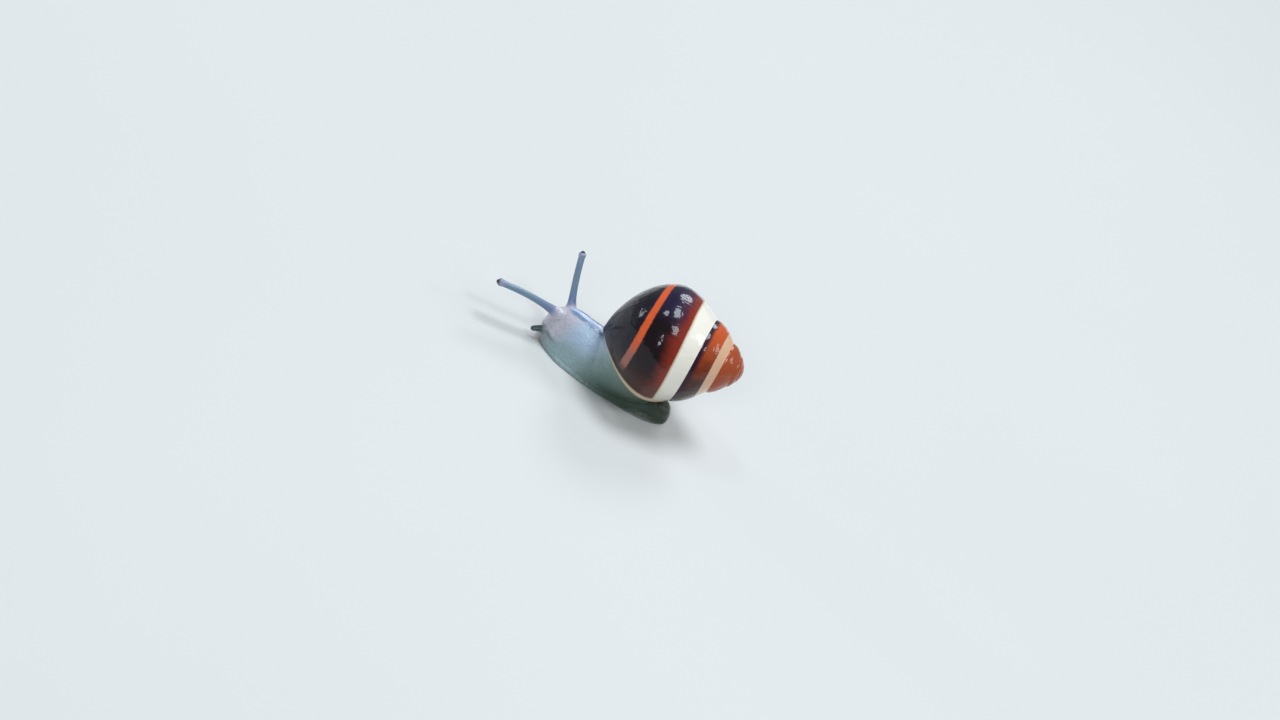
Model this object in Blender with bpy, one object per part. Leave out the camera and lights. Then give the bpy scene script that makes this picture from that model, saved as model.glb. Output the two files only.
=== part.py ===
"""A crawling tree snail with a glossy, banded, left-handed shell, life size.

The animal crawls towards -X with its left side towards -Y.  The flat sole of
its foot lies on the plane z = 0, with the middle of the sole at the origin.

The shell is one closed solid wound along a rising and widening spiral.  The
flesh is lofted along a bent midline, joined to the collar that fills the
shell's mouth, and then parted with thin cuts where a person would name its
parts.  Every size below is in millimetres.
"""
import math

import bmesh
import bpy
from mathutils import Vector

MM = 0.001
CUT = 0.10                      # width of the thin cuts between flesh parts
SHELL_GAP = 0.12                # room between the flesh and the shell

# --- shell: a spiral seen from the apex, measured down its axis ------------
TURNS = 5.4                     # whorls from the tip to the lip
GROWTH = 1.664                  # widening of the suture in one turn
SUTURE_RADIUS = 4.33            # where the last suture reaches the lip
DOME_RADIUS = 2.04              # the blunt dome of the earliest whorls
DOME_HEIGHT = 1.57
DOME_POWER = 1.9
CONE_SLOPE = 1.5                # drop for each mm of radius below the dome
WHORL_ARCH = 1.75               # how strongly each whorl bulges
LIP_RADIUS = 5.29               # widest radius, at the outer lip
LIP_LEVEL = 7.42                # depth of that widest point below the apex
BASE_LEVEL = 12.42              # depth of the lower end of the lip
OLD_BASE_LEVEL = 8.90           # depth of the base one turn earlier
BASE_ROUNDNESS = 1.75           # how squarely the base turns in to the axis
BASE_FULLNESS = 0.55            # how wide it stays before it does
LIP_ROUNDNESS, LIP_FULLNESS = 1.70, 0.80      # the same at the lip
BASE_DROP = 1.9                 # how late the last turn's base drops to the lip
FLARE, FLARE_DROP = 1.8, 2.1    # how late its widest line moves out and down
BLUNT_FROM, BLUNT_BY = 0.93, 7.1              # rounds the base off at the axis
LIP_SLANT = math.radians(32)    # the lip's lower end lags behind its upper
SLANT_CURVE = 2.5               # how early along the lip it starts to lag
MOUTH_MIDDLE = (3.3, 9.25)      # radius and depth of the middle of the mouth
HOLLOW_ANGLE = math.radians(12) # of the deepest point of the mouth's hollow
HOLLOW_SHARES = (0.2, 0.5, 0.8) # where its rings lie, from its rim to its middle

# --- how the shell is carried -----------------------------------------------
APEX_LIFT = math.radians(13.7)  # the apex points back and a little upwards
APEX_SWING = math.radians(2.6)  # and a little to the animal's left
LIP_ANGLE = math.radians(63)    # of the lip's upper end, from left to down
SHELL_CENTRE = Vector((2.42, 0.0, 6.42))
CENTRE_DEPTH = 6.33             # of SHELL_CENTRE below the apex

# --- body: the midline is straight at the tail and bends to the right -------
BEND_START = -0.9               # x where the midline starts to bend
BEND_RADIUS = 10.3
# along the midline, height, half width of the body, half width of the sole
STATIONS = (
    (-6.85, 0.55, 0.35, 0.40),
    (-6.55, 1.15, 0.78, 0.95),
    (-5.90, 1.55, 1.15, 1.50),
    (-4.60, 1.68, 1.50, 2.02),
    (-2.60, 1.75, 1.68, 2.22),
    (-1.00, 2.20, 1.72, 2.22),
    (0.60, 3.55, 1.74, 2.15),
    (2.00, 4.22, 1.72, 2.08),
    (3.40, 4.18, 1.64, 2.04),
    (4.60, 3.98, 1.62, 1.68),
    (5.20, 3.90, 1.62, 1.48),
    (6.30, 3.80, 1.60, 1.20),
)
SNOUT_LENGTH = 2.10             # the last stretch, which rounds off the face
SNOUT_POWER = 2.05
SNOUT_HEIGHT = 1.60             # height of the foremost point
FACE_END = 0.11                 # share of the snout beyond the last station
FACE_ROUNDING = 0.5             # how much less square the sections get there
SOLE_FLARE = 7                  # how close to the ground the sole spreads
ARCH = 2.4                      # roundness of the back
SHOULDER = 0.6                  # how much squarer the back is than its sides
HALF_STEPS = 10                 # facets from the sole's edge to the top
BODY_STEPS = 34                 # rings from tail to snout
FACE_SHARES = (0.03, 0.055, 0.08, 0.10)    # rings that round off the face

# --- collar: the flesh that rises from the foot into the shell's mouth -------
COLLAR_CENTRE = Vector((0.1, -0.12, 0.5))
COLLAR_LENGTH = 3.5             # half length where it meets the foot
COLLAR_WIDTH = 1.75             # half width there
COLLAR_RIM = 0.10               # its share of the way to the mouth's middle
COLLAR_INSIDE = ((0.35, 1.1), (0.30, 0.7), (0.20, 0.3))     # share, depth share

# --- where the flesh is parted, along the midline and above the ground ------
HEAD_CUT = 4.35
NECK_CUT = 2.10
TAIL_CUT = -4.30
FOOT_CUT = 1.05                 # under the head and neck
MANTLE_CUT = 1.62               # under the shell

# --- feelers, placed from the midline: along it, to the left, up -------------
EYE_STALK_ROOT = (5.55, 0.90, 2.95)
LEFT_STALK_REACH = (4.30, 4.60, 0.67)
LEFT_STALK_SAG = (0.0, 0.10, 0.28)
RIGHT_STALK_REACH = (2.53, -0.87, 4.25)
RIGHT_STALK_SAG = (0.08, 0.06, 0.0)
STALK_ROOT_RADIUS = 0.62
STALK_RADIUS = 0.285
BULB_RADIUS = 0.35
FEELER_ROOT = (5.35, 0.95, 1.32)
FEELER_REACH = (1.05, 1.05, -0.62)
FEELER_ROOT_RADIUS = 0.50
FEELER_RADIUS = 0.25
EYE_RADIUS = 0.20
FEELER_SIDES = 12
# how far along an eye stalk each of its pieces ends
STALK_IN_HEAD, STALK_MIDDLE, STALK_END = 0.17, 0.55, 0.975
FEELER_IN_HEAD = 0.36
ROOT_FADE = 0.11                # how soon an eye stalk narrows to its shaft
BULB_AT, BULB_SPREAD = 0.955, 0.035

ROUND_STEPS = 36                # facets in one turn of the shell
UPPER_STEPS = 6                 # facets from suture to widest line
LOWER_STEPS = 12                # facets from the widest line to the base


# ---------------------------------------------------------------- helpers --
def clear_scene():
    for item in list(bpy.data.objects):
        bpy.data.objects.remove(item, do_unlink=True)


def material(name, colour, roughness, metallic=0.0):
    made = bpy.data.materials.new(name)
    made.use_nodes = True
    shader = made.node_tree.nodes["Principled BSDF"]
    shader.inputs["Base Color"].default_value = (*colour, 1.0)
    shader.inputs["Roughness"].default_value = roughness
    shader.inputs["Metallic"].default_value = metallic
    return made


def object_from(name, points, faces, merge=0.001):
    """A closed mesh object from points in mm, with its faces turned outwards."""
    mesh = bpy.data.meshes.new(name)
    mesh.from_pydata([tuple(Vector(p) * MM) for p in points], [], faces)
    made = bpy.data.objects.new(name, mesh)
    bpy.context.scene.collection.objects.link(made)
    tidy(made, merge)
    return made


def tidy(item, merge=0.001):
    shape = bmesh.new()
    shape.from_mesh(item.data)
    bmesh.ops.remove_doubles(shape, verts=shape.verts, dist=merge * MM)
    bmesh.ops.triangulate(shape, faces=shape.faces)
    bmesh.ops.recalc_face_normals(shape, faces=shape.faces)
    shape.to_mesh(item.data)
    shape.free()


def combine(item, tool, operation):
    """Apply an exact Boolean of item with tool, and drop the tool."""
    step = item.modifiers.new(operation.lower(), "BOOLEAN")
    step.operation = operation
    step.solver = "EXACT"
    step.object = tool
    depsgraph = bpy.context.evaluated_depsgraph_get()
    result = bpy.data.meshes.new_from_object(item.evaluated_get(depsgraph))
    item.modifiers.remove(step)
    item.data = result
    bpy.data.objects.remove(tool, do_unlink=True)
    return item


def copy_of(item, name):
    made = bpy.data.objects.new(name, item.data.copy())
    bpy.context.scene.collection.objects.link(made)
    return made


def smooth_keys(keys, at):
    """Values between rows of keys by a smooth curve; the first column is where."""
    at = min(max(at, keys[0][0]), keys[-1][0])
    row = next(i for i in range(len(keys) - 1) if at <= keys[i + 1][0])
    before, start = keys[max(row - 1, 0)], keys[row]
    end, after = keys[row + 1], keys[min(row + 2, len(keys) - 1)]
    span = end[0] - start[0]
    t = (at - start[0]) / span
    values = []
    for k in range(1, len(start)):
        rise_in = (end[k] - before[k]) / (end[0] - before[0]) * span
        rise_out = (after[k] - start[k]) / (after[0] - start[0]) * span
        values.append((2 * t**3 - 3 * t**2 + 1) * start[k] + (t**3 - 2 * t**2 + t) * rise_in
                      + (3 * t**2 - 2 * t**3) * end[k] + (t**3 - t**2) * rise_out)
    return values


def skin_rings(rings):
    """Faces that join a list of equal rings and close both ends with a fan."""
    count = len(rings[0])
    points = [p for ring in rings for p in ring]
    faces = []
    for a in range(len(rings) - 1):
        for b in range(count):
            c = (b + 1) % count
            faces.append((a * count + b, a * count + c,
                          (a + 1) * count + c, (a + 1) * count + b))
    for ring in (0, len(rings) - 1):
        centre = sum((Vector(p) for p in rings[ring]), Vector()) / count
        points.append(centre)
        for b in range(count):
            faces.append((ring * count + b, ring * count + (b + 1) % count, len(points) - 1))
    return points, faces


# ------------------------------------------------------------------ shell --
# "back" counts turns backwards from the lip: 0 at the lip, TURNS at the tip.
def suture(back):
    """Radius and depth of the seam between two whorls."""
    radius = SUTURE_RADIUS * GROWTH ** (-back)
    if radius < DOME_RADIUS:
        return radius, DOME_HEIGHT * (radius / DOME_RADIUS) ** DOME_POWER
    return radius, DOME_HEIGHT + CONE_SLOPE * (radius - DOME_RADIUS)


def widest(back):
    """Radius and depth of a whorl's widest line, which the next seam follows."""
    if back >= 1:
        return suture(back - 1)
    radius, depth = suture(0)
    return (LIP_RADIUS - (LIP_RADIUS - radius) * back ** FLARE,
            LIP_LEVEL - (LIP_LEVEL - depth) * back ** FLARE_DROP)


def whorl_point(back, along):
    """Radius and depth on a whorl: along runs 0 seam, 1 widest line, 2 axis."""
    top_radius, top = suture(back)
    wide_radius, wide = widest(back)
    if along <= 1:
        depth = top + (wide - top) * along
        return top_radius + (wide_radius - top_radius) * (1 - (1 - along) ** WHORL_ARCH), depth
    bottom = BASE_LEVEL - (BASE_LEVEL - OLD_BASE_LEVEL) * back ** BASE_DROP
    drop = math.sin((along - 1) * math.pi / 2)
    lip_share = max(0.0, 1 - 2 * back)
    roundness = BASE_ROUNDNESS + (LIP_ROUNDNESS - BASE_ROUNDNESS) * lip_share
    fullness = BASE_FULLNESS + (LIP_FULLNESS - BASE_FULLNESS) * lip_share
    radius = wide_radius * max(0.0, 1 - drop ** roundness) ** fullness
    blunt = drop - BLUNT_BY * max(0.0, drop - BLUNT_FROM) ** 2
    return radius, wide + (bottom - wide) * blunt


def shell_axes():
    """Unit vectors: to the apex, level to the left, and down across the axis."""
    lift, swing = APEX_LIFT, APEX_SWING
    apex = Vector((math.cos(lift) * math.cos(swing), -math.cos(lift) * math.sin(swing),
                   math.sin(lift)))
    left = Vector((-math.sin(swing), -math.cos(swing), 0.0))
    return apex, left, apex.cross(left)


def place_on_shell(radius, angle, depth):
    apex, left, down = shell_axes()
    return (SHELL_CENTRE + apex * (CENTRE_DEPTH - depth)
            + left * (radius * math.cos(angle)) + down * (radius * math.sin(angle)))


def shell_angle(back, along):
    """Angle about the axis; the lip slants, so its lower end lags behind."""
    slant = LIP_SLANT * (1 - (1 - along / 2) ** SLANT_CURVE) * max(0.0, 1 - back)
    return LIP_ANGLE - math.tau * back - slant


def shell_surface(back, along, grow=0.0):
    """A point of the shell; grow moves it outwards and the mouth forwards."""
    radius, depth = whorl_point(back, along)
    outward = grow if along < 2 else 0.0
    ahead = grow / MOUTH_MIDDLE[0]
    return place_on_shell(radius + outward, shell_angle(back, along) + ahead,
                          depth + grow * max(0.0, along - 1))


UPPER = [k / UPPER_STEPS for k in range(UPPER_STEPS + 1)]
LOWER = [1 + k / LOWER_STEPS for k in range(1, LOWER_STEPS + 1)]


def mouth_ring(share, depth_share, grow=0.0, axis_steps=ROUND_STEPS):
    """A ring in the shell's mouth: share 0 is its rim and 1 its middle.

    It runs from the seam down the outer lip to the base, up the axis, and
    back to the seam along the whorl one turn earlier.  depth_share 1 puts it
    as deep inside as the bottom of the hollow.
    """
    rim = [(*whorl_point(0, at), shell_angle(0, at)) for at in UPPER + LOWER]
    old = [(*whorl_point(1, at), shell_angle(1, at) + math.tau) for at in reversed(LOWER)]
    lowest, highest = rim[-1], old[0]
    for k in range(1, axis_steps):
        part = k / axis_steps
        rim.append((*whorl_point(part, 2), lowest[2] + (highest[2] - lowest[2]) * part))
    ring = []
    for radius, depth, angle in rim + old:
        radius += (MOUTH_MIDDLE[0] - radius) * share
        depth += (MOUTH_MIDDLE[1] - depth) * share
        angle += (HOLLOW_ANGLE - angle) * depth_share
        ring.append(place_on_shell(radius, angle + grow / MOUTH_MIDDLE[0], depth))
    return ring


def make_shell(name, grow=0.0):
    """The closed shell; grow moves every wall outwards."""
    points, faces = [], []

    def add_strip(first, last, alongs):
        rows = []
        for i in range(first, last + 1):
            rows.append([len(points) + k for k in range(len(alongs))])
            points.extend(shell_surface(TURNS - i / ROUND_STEPS, at, grow) for at in alongs)
        for low, high in zip(rows, rows[1:]):
            for k in range(len(alongs) - 1):
                faces.append((low[k], low[k + 1], high[k + 1], high[k]))
        return rows

    lip_row = round(TURNS * ROUND_STEPS)
    tip_rows = add_strip(0, lip_row - ROUND_STEPS, UPPER)
    body_rows = add_strip(lip_row - ROUND_STEPS, lip_row, UPPER + LOWER)

    # the tip: a fan over the first turn of the seam and the strip's first edge
    points.append(place_on_shell(0.0, 0.0, -0.02 - grow))
    rim = [row[0] for row in tip_rows[:ROUND_STEPS + 1]] + tip_rows[0][:0:-1]
    for a, b in zip(rim, rim[1:] + rim[:1]):
        faces.append((a, b, len(points) - 1))

    # the mouth: a shallow hollow inside the lip
    axis = [row[-1] for row in body_rows[-2:0:-1]]
    edge = body_rows[-1] + axis + body_rows[0][:UPPER_STEPS:-1]
    for share in HOLLOW_SHARES:
        ring = [len(points) + k for k in range(len(edge))]
        points.extend(mouth_ring(share, 1 - (1 - share) ** 2, grow))
        for k in range(len(edge)):
            after = (k + 1) % len(edge)
            faces.append((edge[k], ring[k], ring[after]))
            faces.append((edge[k], ring[after], edge[after]))
        edge = ring
    points.append(place_on_shell(MOUTH_MIDDLE[0], HOLLOW_ANGLE + grow / MOUTH_MIDDLE[0],
                                 MOUTH_MIDDLE[1]))
    for a, b in zip(edge, edge[1:] + edge[:1]):
        faces.append((a, b, len(points) - 1))
    return object_from(name, points, faces, merge=0.012)


def shares_around(loop):
    """How far round a closed loop each of its points lies, from 0 to 1."""
    lengths = [0.0]
    for a, b in zip(loop, loop[1:] + loop[:1]):
        lengths.append(lengths[-1] + (b - a).length)
    return [length / lengths[-1] for length in lengths[:-1]]


# ------------------------------------------------------------------- body --
def midline(along):
    """Place on the ground, and the directions forward and left, at a station."""
    if along <= 0:
        return Vector((BEND_START - along, 0, 0)), Vector((-1, 0, 0)), Vector((0, -1, 0))
    turn = along / BEND_RADIUS
    place = Vector((BEND_START - BEND_RADIUS * math.sin(turn),
                    BEND_RADIUS * (1 - math.cos(turn)), 0))
    forward = Vector((-math.cos(turn), math.sin(turn), 0))
    left = Vector((-math.sin(turn), -math.cos(turn), 0))
    return place, forward, left


def from_midline(along, sideways, up):
    place, _, left = midline(along)
    return place + left * sideways + Vector((0, 0, up))


def body_ring(along):
    """A cross section: flat sole, spreading edge, side and rounded back."""
    height, body, sole = smooth_keys(STATIONS, along)
    snout_start = STATIONS[-1][0] - SNOUT_LENGTH * (1 - FACE_END)
    into_snout = min(1.0, max(0.0, along - snout_start) / SNOUT_LENGTH)
    shrink = max(0.02, 1 - into_snout ** SNOUT_POWER) ** (1 / SNOUT_POWER)
    arch = ARCH - FACE_ROUNDING * into_snout
    shoulder = SHOULDER * (1 - into_snout)
    half = []
    for k in range(HALF_STEPS + 1):
        share = math.sin(math.pi / 2 * k / HALF_STEPS)
        width = body * max(0.0, 1 - share ** (arch + shoulder)) ** (1 / arch)
        width += (sole - body) * (1 - share) ** SOLE_FLARE
        half.append((width, height * share))
    section = half + [(-width, up) for width, up in half[-2::-1]]
    section += [(sole * side, 0.0) for side in (-0.5, 0.0, 0.5)]
    return [from_midline(along, width * shrink, SNOUT_HEIGHT + (up - SNOUT_HEIGHT) * shrink)
            for width, up in section]


def make_body():
    start, end = STATIONS[0][0], STATIONS[-1][0]
    places = [start + (end - start) * k / BODY_STEPS for k in range(BODY_STEPS + 1)]
    places += [end + SNOUT_LENGTH * share for share in FACE_SHARES]
    return object_from("body", *skin_rings([body_ring(at) for at in places]))


def make_collar():
    """The flesh between the foot and the inside of the shell's mouth."""
    inside = [mouth_ring(share, depth, axis_steps=6) for share, depth in COLLAR_INSIDE]
    rim = mouth_ring(COLLAR_RIM, 0.0, axis_steps=6)
    foot = [COLLAR_CENTRE + Vector((COLLAR_LENGTH * math.cos(math.tau * share),
                                    -COLLAR_WIDTH * math.sin(math.tau * share), 0))
            for share in shares_around(rim)]
    rings = inside + [rim]
    for share in (0.3, 0.5, 0.7, 0.85, 1.0):
        rings.append([a.lerp(b, share) for a, b in zip(rim, foot)])
    return object_from("collar", *skin_rings(rings))


# ---------------------------------------------------------------- feelers --
def round_ring(centre, ahead, size):
    """A ring of points about centre, square to the direction ahead."""
    across = ahead.cross(Vector((0, 0, 1))).normalized()
    upward = across.cross(ahead)
    turns = [math.tau * s / FEELER_SIDES for s in range(FEELER_SIDES)]
    return [centre + across * (size * math.cos(a)) + upward * (size * math.sin(a))
            for a in turns]


def heading(path, t):
    return (path(t + 0.01) - path(t - 0.01)).normalized()


def tube(name, path, radius, start, end, steps):
    """A round feeler along path(t), from t = start to t = end."""
    places = [start + (end - start) * k / steps for k in range(steps + 1)]
    rings = [round_ring(path(t), heading(path, t), radius(t)) for t in places]
    return object_from(name, *skin_rings(rings))


def feeler_path(root, reach, sag):
    """A path from root on the head, by its reach forwards, left and up."""
    along, sideways, up = root
    _, forward, left = midline(along)
    begin = from_midline(along, sideways, up)
    whole = forward * reach[0] + left * reach[1] + Vector((0, 0, reach[2]))
    droop = forward * sag[0] + left * sag[1] + Vector((0, 0, sag[2]))

    def path(t):
        return begin + whole * t + droop * math.sin(math.pi * t)
    return path


def stalk_radius(t):
    """An eye stalk: wide root, even shaft and a round bulb at its end."""
    root = (STALK_ROOT_RADIUS - STALK_RADIUS) * math.exp(-t / ROOT_FADE)
    bulb = (BULB_RADIUS - STALK_RADIUS) * math.exp(-((t - BULB_AT) / BULB_SPREAD) ** 2)
    return STALK_RADIUS + root + bulb


def feeler_radius(t):
    return FEELER_RADIUS + (FEELER_ROOT_RADIUS - FEELER_RADIUS) * (1 - t) ** 2


def make_eye(name, path, at):
    """A dome on the end of an eye stalk."""
    base, ahead = path(at), heading(path, at)
    lifts = [math.pi / 2 * share for share in (0.0, 0.22, 0.44, 0.65, 0.87)]
    rings = [round_ring(base + ahead * (EYE_RADIUS * math.sin(lift)), ahead,
                        EYE_RADIUS * math.cos(lift)) for lift in lifts]
    return object_from(name, *skin_rings(rings))


def make_eye_stalk(name, side, reach, sag, colour):
    """Two lengths of eye stalk and the eye; gives back the root in the head."""
    along, sideways, up = EYE_STALK_ROOT
    path = feeler_path((along, sideways * side, up), reach, sag)
    gap = CUT / Vector(reach).length
    lower = tube("eye_stalk_lower_" + name, path, stalk_radius,
                 STALK_IN_HEAD + gap, STALK_MIDDLE, 6)
    upper = tube("eye_stalk_upper_" + name, path, stalk_radius,
                 STALK_MIDDLE + gap, STALK_END, 10)
    eye = make_eye("eye_" + name, path, STALK_END + 0.5 * gap)
    for item, finish in ((lower, "feeler"), (upper, "feeler"), (eye, "eye")):
        item.data.materials.append(colour[finish])
    return tube("stalk_root_" + name, path, stalk_radius, 0.0, STALK_IN_HEAD, 4)


def make_lower_feeler(name, side, colour):
    """A short feeler low on the face; gives back the root in the head."""
    along, sideways, up = FEELER_ROOT
    reach = (FEELER_REACH[0], FEELER_REACH[1] * side, FEELER_REACH[2])
    path = feeler_path((along, sideways * side, up), reach, (0, 0, 0))
    gap = CUT / Vector(reach).length
    feeler = tube("lower_feeler_" + name, path, feeler_radius, FEELER_IN_HEAD + gap, 1.0, 4)
    feeler.data.materials.append(colour["feeler"])
    return tube("feeler_root_" + name, path, feeler_radius, 0.0, FEELER_IN_HEAD, 3)


# ----------------------------------------------------------------- parting --
def slab(name, first, last, low, high):
    """A block that follows the midline between two stations and two heights."""
    wide = 1.5 * COLLAR_LENGTH      # clears the flesh on both sides
    rings = []
    steps = max(1, round(abs(last - first) / 1.5))
    for k in range(steps + 1):
        at = first + (last - first) * k / steps
        rings.append([from_midline(at, -wide, low), from_midline(at, wide, low),
                      from_midline(at, wide, high), from_midline(at, -wide, high)])
    return object_from(name, *skin_rings(rings))


def part_flesh(flesh, colour):
    """Cut the whole flesh into named parts with thin cuts between them."""
    front, back, top, floor = 7.5, -9.0, 12.0, -1.0
    half = CUT / 2
    regions = (
        ("head", HEAD_CUT + half, front, FOOT_CUT + half, top, "head"),
        ("neck", NECK_CUT + half, HEAD_CUT - half, FOOT_CUT + half, top, "back"),
        ("foot_front", NECK_CUT + half, front, floor, FOOT_CUT - half, "foot"),
        ("mantle", back, NECK_CUT - half, MANTLE_CUT + half, top, "back"),
        ("foot_middle", TAIL_CUT + half, NECK_CUT - half, floor, MANTLE_CUT - half, "foot"),
        ("tail", back, TAIL_CUT - half, floor, MANTLE_CUT - half, "foot"),
    )
    for name, first, last, low, high, finish in regions:
        piece = copy_of(flesh, name)
        combine(piece, slab("cell_" + name, first, last, low, high), "INTERSECT")
        tidy(piece)
        piece.data.materials.clear()
        piece.data.materials.append(colour[finish])
    bpy.data.objects.remove(flesh, do_unlink=True)


def main():
    clear_scene()
    colour = {
        "shell": material("polished_shell", (0.055, 0.016, 0.013), 0.12),
        "head": material("head_skin", (0.36, 0.34, 0.38), 0.35),
        "back": material("back_skin", (0.22, 0.27, 0.34), 0.30),
        "foot": material("foot_skin", (0.16, 0.22, 0.20), 0.35),
        "feeler": material("feeler_skin", (0.15, 0.24, 0.30), 0.30),
        "eye": material("eye_black", (0.01, 0.01, 0.015), 0.08),
    }
    shell = make_shell("shell")
    shell.data.materials.append(colour["shell"])

    flesh = combine(make_body(), make_collar(), "UNION")
    roots = [make_eye_stalk("left", 1, LEFT_STALK_REACH, LEFT_STALK_SAG, colour),
             make_eye_stalk("right", -1, RIGHT_STALK_REACH, RIGHT_STALK_SAG, colour),
             make_lower_feeler("left", 1, colour), make_lower_feeler("right", -1, colour)]
    for root in roots:
        combine(flesh, root, "UNION")
    combine(flesh, make_shell("shell_room", SHELL_GAP), "DIFFERENCE")
    tidy(flesh)
    part_flesh(flesh, colour)

    for item in bpy.context.scene.objects:
        item.data.shade_smooth()
        item.data.set_sharp_from_angle(angle=math.radians(40))


main()
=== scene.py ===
# %% [markdown]
# # A tree snail on a pale floor
# This lesson dresses a packed model of a small crawling snail.  The packed
# model is the frame: it says where every part lies, and nothing here moves it.
# The two large pieces are made anew.  The shell follows a spiral rule, so
# Geometry Nodes wind it.  The soft body is lofted, joined and cut in mesh
# code, and then gets its grain from Geometry Nodes.
#
# Lengths are in millimetres while a piece is being made.  Each finished mesh
# is then scaled once to Blender's metres.
# %% Load the packed model
import math
from types import SimpleNamespace

import bmesh
import bpy
import numpy as np
from mathutils import Matrix, Vector


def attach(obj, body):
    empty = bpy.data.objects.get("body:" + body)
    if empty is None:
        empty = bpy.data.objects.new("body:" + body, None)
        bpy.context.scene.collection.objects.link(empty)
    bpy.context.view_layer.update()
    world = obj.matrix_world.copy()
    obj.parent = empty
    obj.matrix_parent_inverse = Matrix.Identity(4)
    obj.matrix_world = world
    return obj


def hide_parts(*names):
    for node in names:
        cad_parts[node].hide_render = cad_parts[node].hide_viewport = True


MM = 0.001
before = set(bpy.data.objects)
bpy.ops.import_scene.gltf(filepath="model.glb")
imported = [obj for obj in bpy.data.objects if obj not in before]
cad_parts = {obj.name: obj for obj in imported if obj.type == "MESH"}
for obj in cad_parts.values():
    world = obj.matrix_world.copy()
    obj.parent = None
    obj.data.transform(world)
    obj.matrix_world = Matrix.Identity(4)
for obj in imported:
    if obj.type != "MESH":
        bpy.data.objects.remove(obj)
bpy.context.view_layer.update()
scene = bpy.context.scene
print("CAD nodes:", ", ".join(sorted(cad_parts)))

# %% [markdown]
# ## The camera
# The animal is looked at from its left side and a little from the front, from
# well above the floor.  The view is rolled, so the animal climbs across the
# picture although it crawls on a level floor.  A long lens about 30 cm away
# keeps the perspective flat.
# %% Camera
VIEW_TURN = math.radians(12)        # towards the head, from a square side view
VIEW_RISE = math.radians(30)
VIEW_ROLL = math.radians(37.6)
VIEW_DISTANCE = 296.0
LENS, SENSOR = 100.0, 36.0
NEAREST, FURTHEST = 0.005, 20.0     # what the camera sees, in metres
SOLE_IN_VIEW = (-2.826, -1.983)     # from the view's middle to the sole's: right, up

to_camera = Vector((-math.sin(VIEW_TURN) * math.cos(VIEW_RISE),
                    -math.cos(VIEW_TURN) * math.cos(VIEW_RISE), math.sin(VIEW_RISE)))
level_right = Vector((math.cos(VIEW_TURN), -math.sin(VIEW_TURN), 0.0))
level_up = to_camera.cross(level_right)
view_right = level_right * math.cos(VIEW_ROLL) + level_up * math.sin(VIEW_ROLL)
view_up = level_up * math.cos(VIEW_ROLL) - level_right * math.sin(VIEW_ROLL)


def add_camera():
    camera = bpy.data.objects.new("camera", bpy.data.cameras.new("camera"))
    scene.collection.objects.link(camera)
    camera.data.lens, camera.data.sensor_width = LENS, SENSOR
    camera.data.clip_start, camera.data.clip_end = NEAREST, FURTHEST
    place = (to_camera * VIEW_DISTANCE - view_right * SOLE_IN_VIEW[0]
             - view_up * SOLE_IN_VIEW[1]) * MM
    turned = Matrix((view_right, view_up, to_camera)).transposed().to_4x4()
    camera.matrix_world = Matrix.Translation(place) @ turned
    return camera


scene.camera = add_camera()
print("camera stands", round(scene.camera.location.z / MM), "mm above the floor")

# %% [markdown]
# ## Sums that become nodes
# A node tree for a spiral has hundreds of Math nodes.  Wiring them one by one
# hides the formula.  The class below carries a socket and answers to + - * /
# and **, adding one Math node each time.  The same Python formula then works
# on plain numbers and on nodes, in Geometry Nodes and in materials.
# %% Fields
def math_node(tree, operation, *terms):
    node = tree.nodes.new("ShaderNodeMath")
    node.operation = operation
    for socket, term in zip(node.inputs, terms):
        feed(tree, socket, term)
    return Field(tree, node.outputs[0])


def feed(tree, socket, value):
    """Link a field into a socket, or set the socket to a plain value."""
    if isinstance(value, Field):
        tree.links.new(value.socket, socket)
    else:
        socket.default_value = value


class Field:
    """A number, vector or colour that flows through a node tree."""

    def __init__(self, tree, socket):
        self.tree, self.socket = tree, socket

    def do(self, operation, *others):
        return math_node(self.tree, operation, self, *others)

    def __add__(self, other): return self.do("ADD", other)
    def __radd__(self, other): return self.do("ADD", other)
    def __mul__(self, other): return self.do("MULTIPLY", other)
    def __rmul__(self, other): return self.do("MULTIPLY", other)
    def __sub__(self, other): return self.do("SUBTRACT", other)
    def __rsub__(self, other): return math_node(self.tree, "SUBTRACT", other, self)
    def __truediv__(self, other): return self.do("DIVIDE", other)
    def __rtruediv__(self, other): return math_node(self.tree, "DIVIDE", other, self)
    def __pow__(self, other): return self.do("POWER", other)
    def __rpow__(self, other): return math_node(self.tree, "POWER", other, self)
    def __neg__(self): return self * -1.0


print("a field can be added, subtracted, multiplied, divided, raised and negated:",
      all(hasattr(Field, "__" + name + "__") for name in
          ("add", "sub", "mul", "truediv", "pow", "neg")))


# %% Sums on plain numbers or fields
def field_in(*terms):
    return next((term for term in terms if isinstance(term, Field)), None)


def larger(a, b):
    found = field_in(a, b)
    return math_node(found.tree, "MAXIMUM", a, b) if found else max(a, b)


def smaller(a, b):
    found = field_in(a, b)
    return math_node(found.tree, "MINIMUM", a, b) if found else min(a, b)


def above(a, b):
    """1 where a is greater than b, and 0 elsewhere."""
    found = field_in(a, b)
    return math_node(found.tree, "GREATER_THAN", a, b) if found else float(a > b)


def sine(a):
    return a.do("SINE") if isinstance(a, Field) else math.sin(a)


def cosine(a):
    return a.do("COSINE") if isinstance(a, Field) else math.cos(a)


def pick(test, yes, no):
    return no + (yes - no) * test


def clamped(a):
    return smaller(larger(a, 0.0), 1.0)


print("a plain sum:", pick(above(3, 2), 10, 20))

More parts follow.
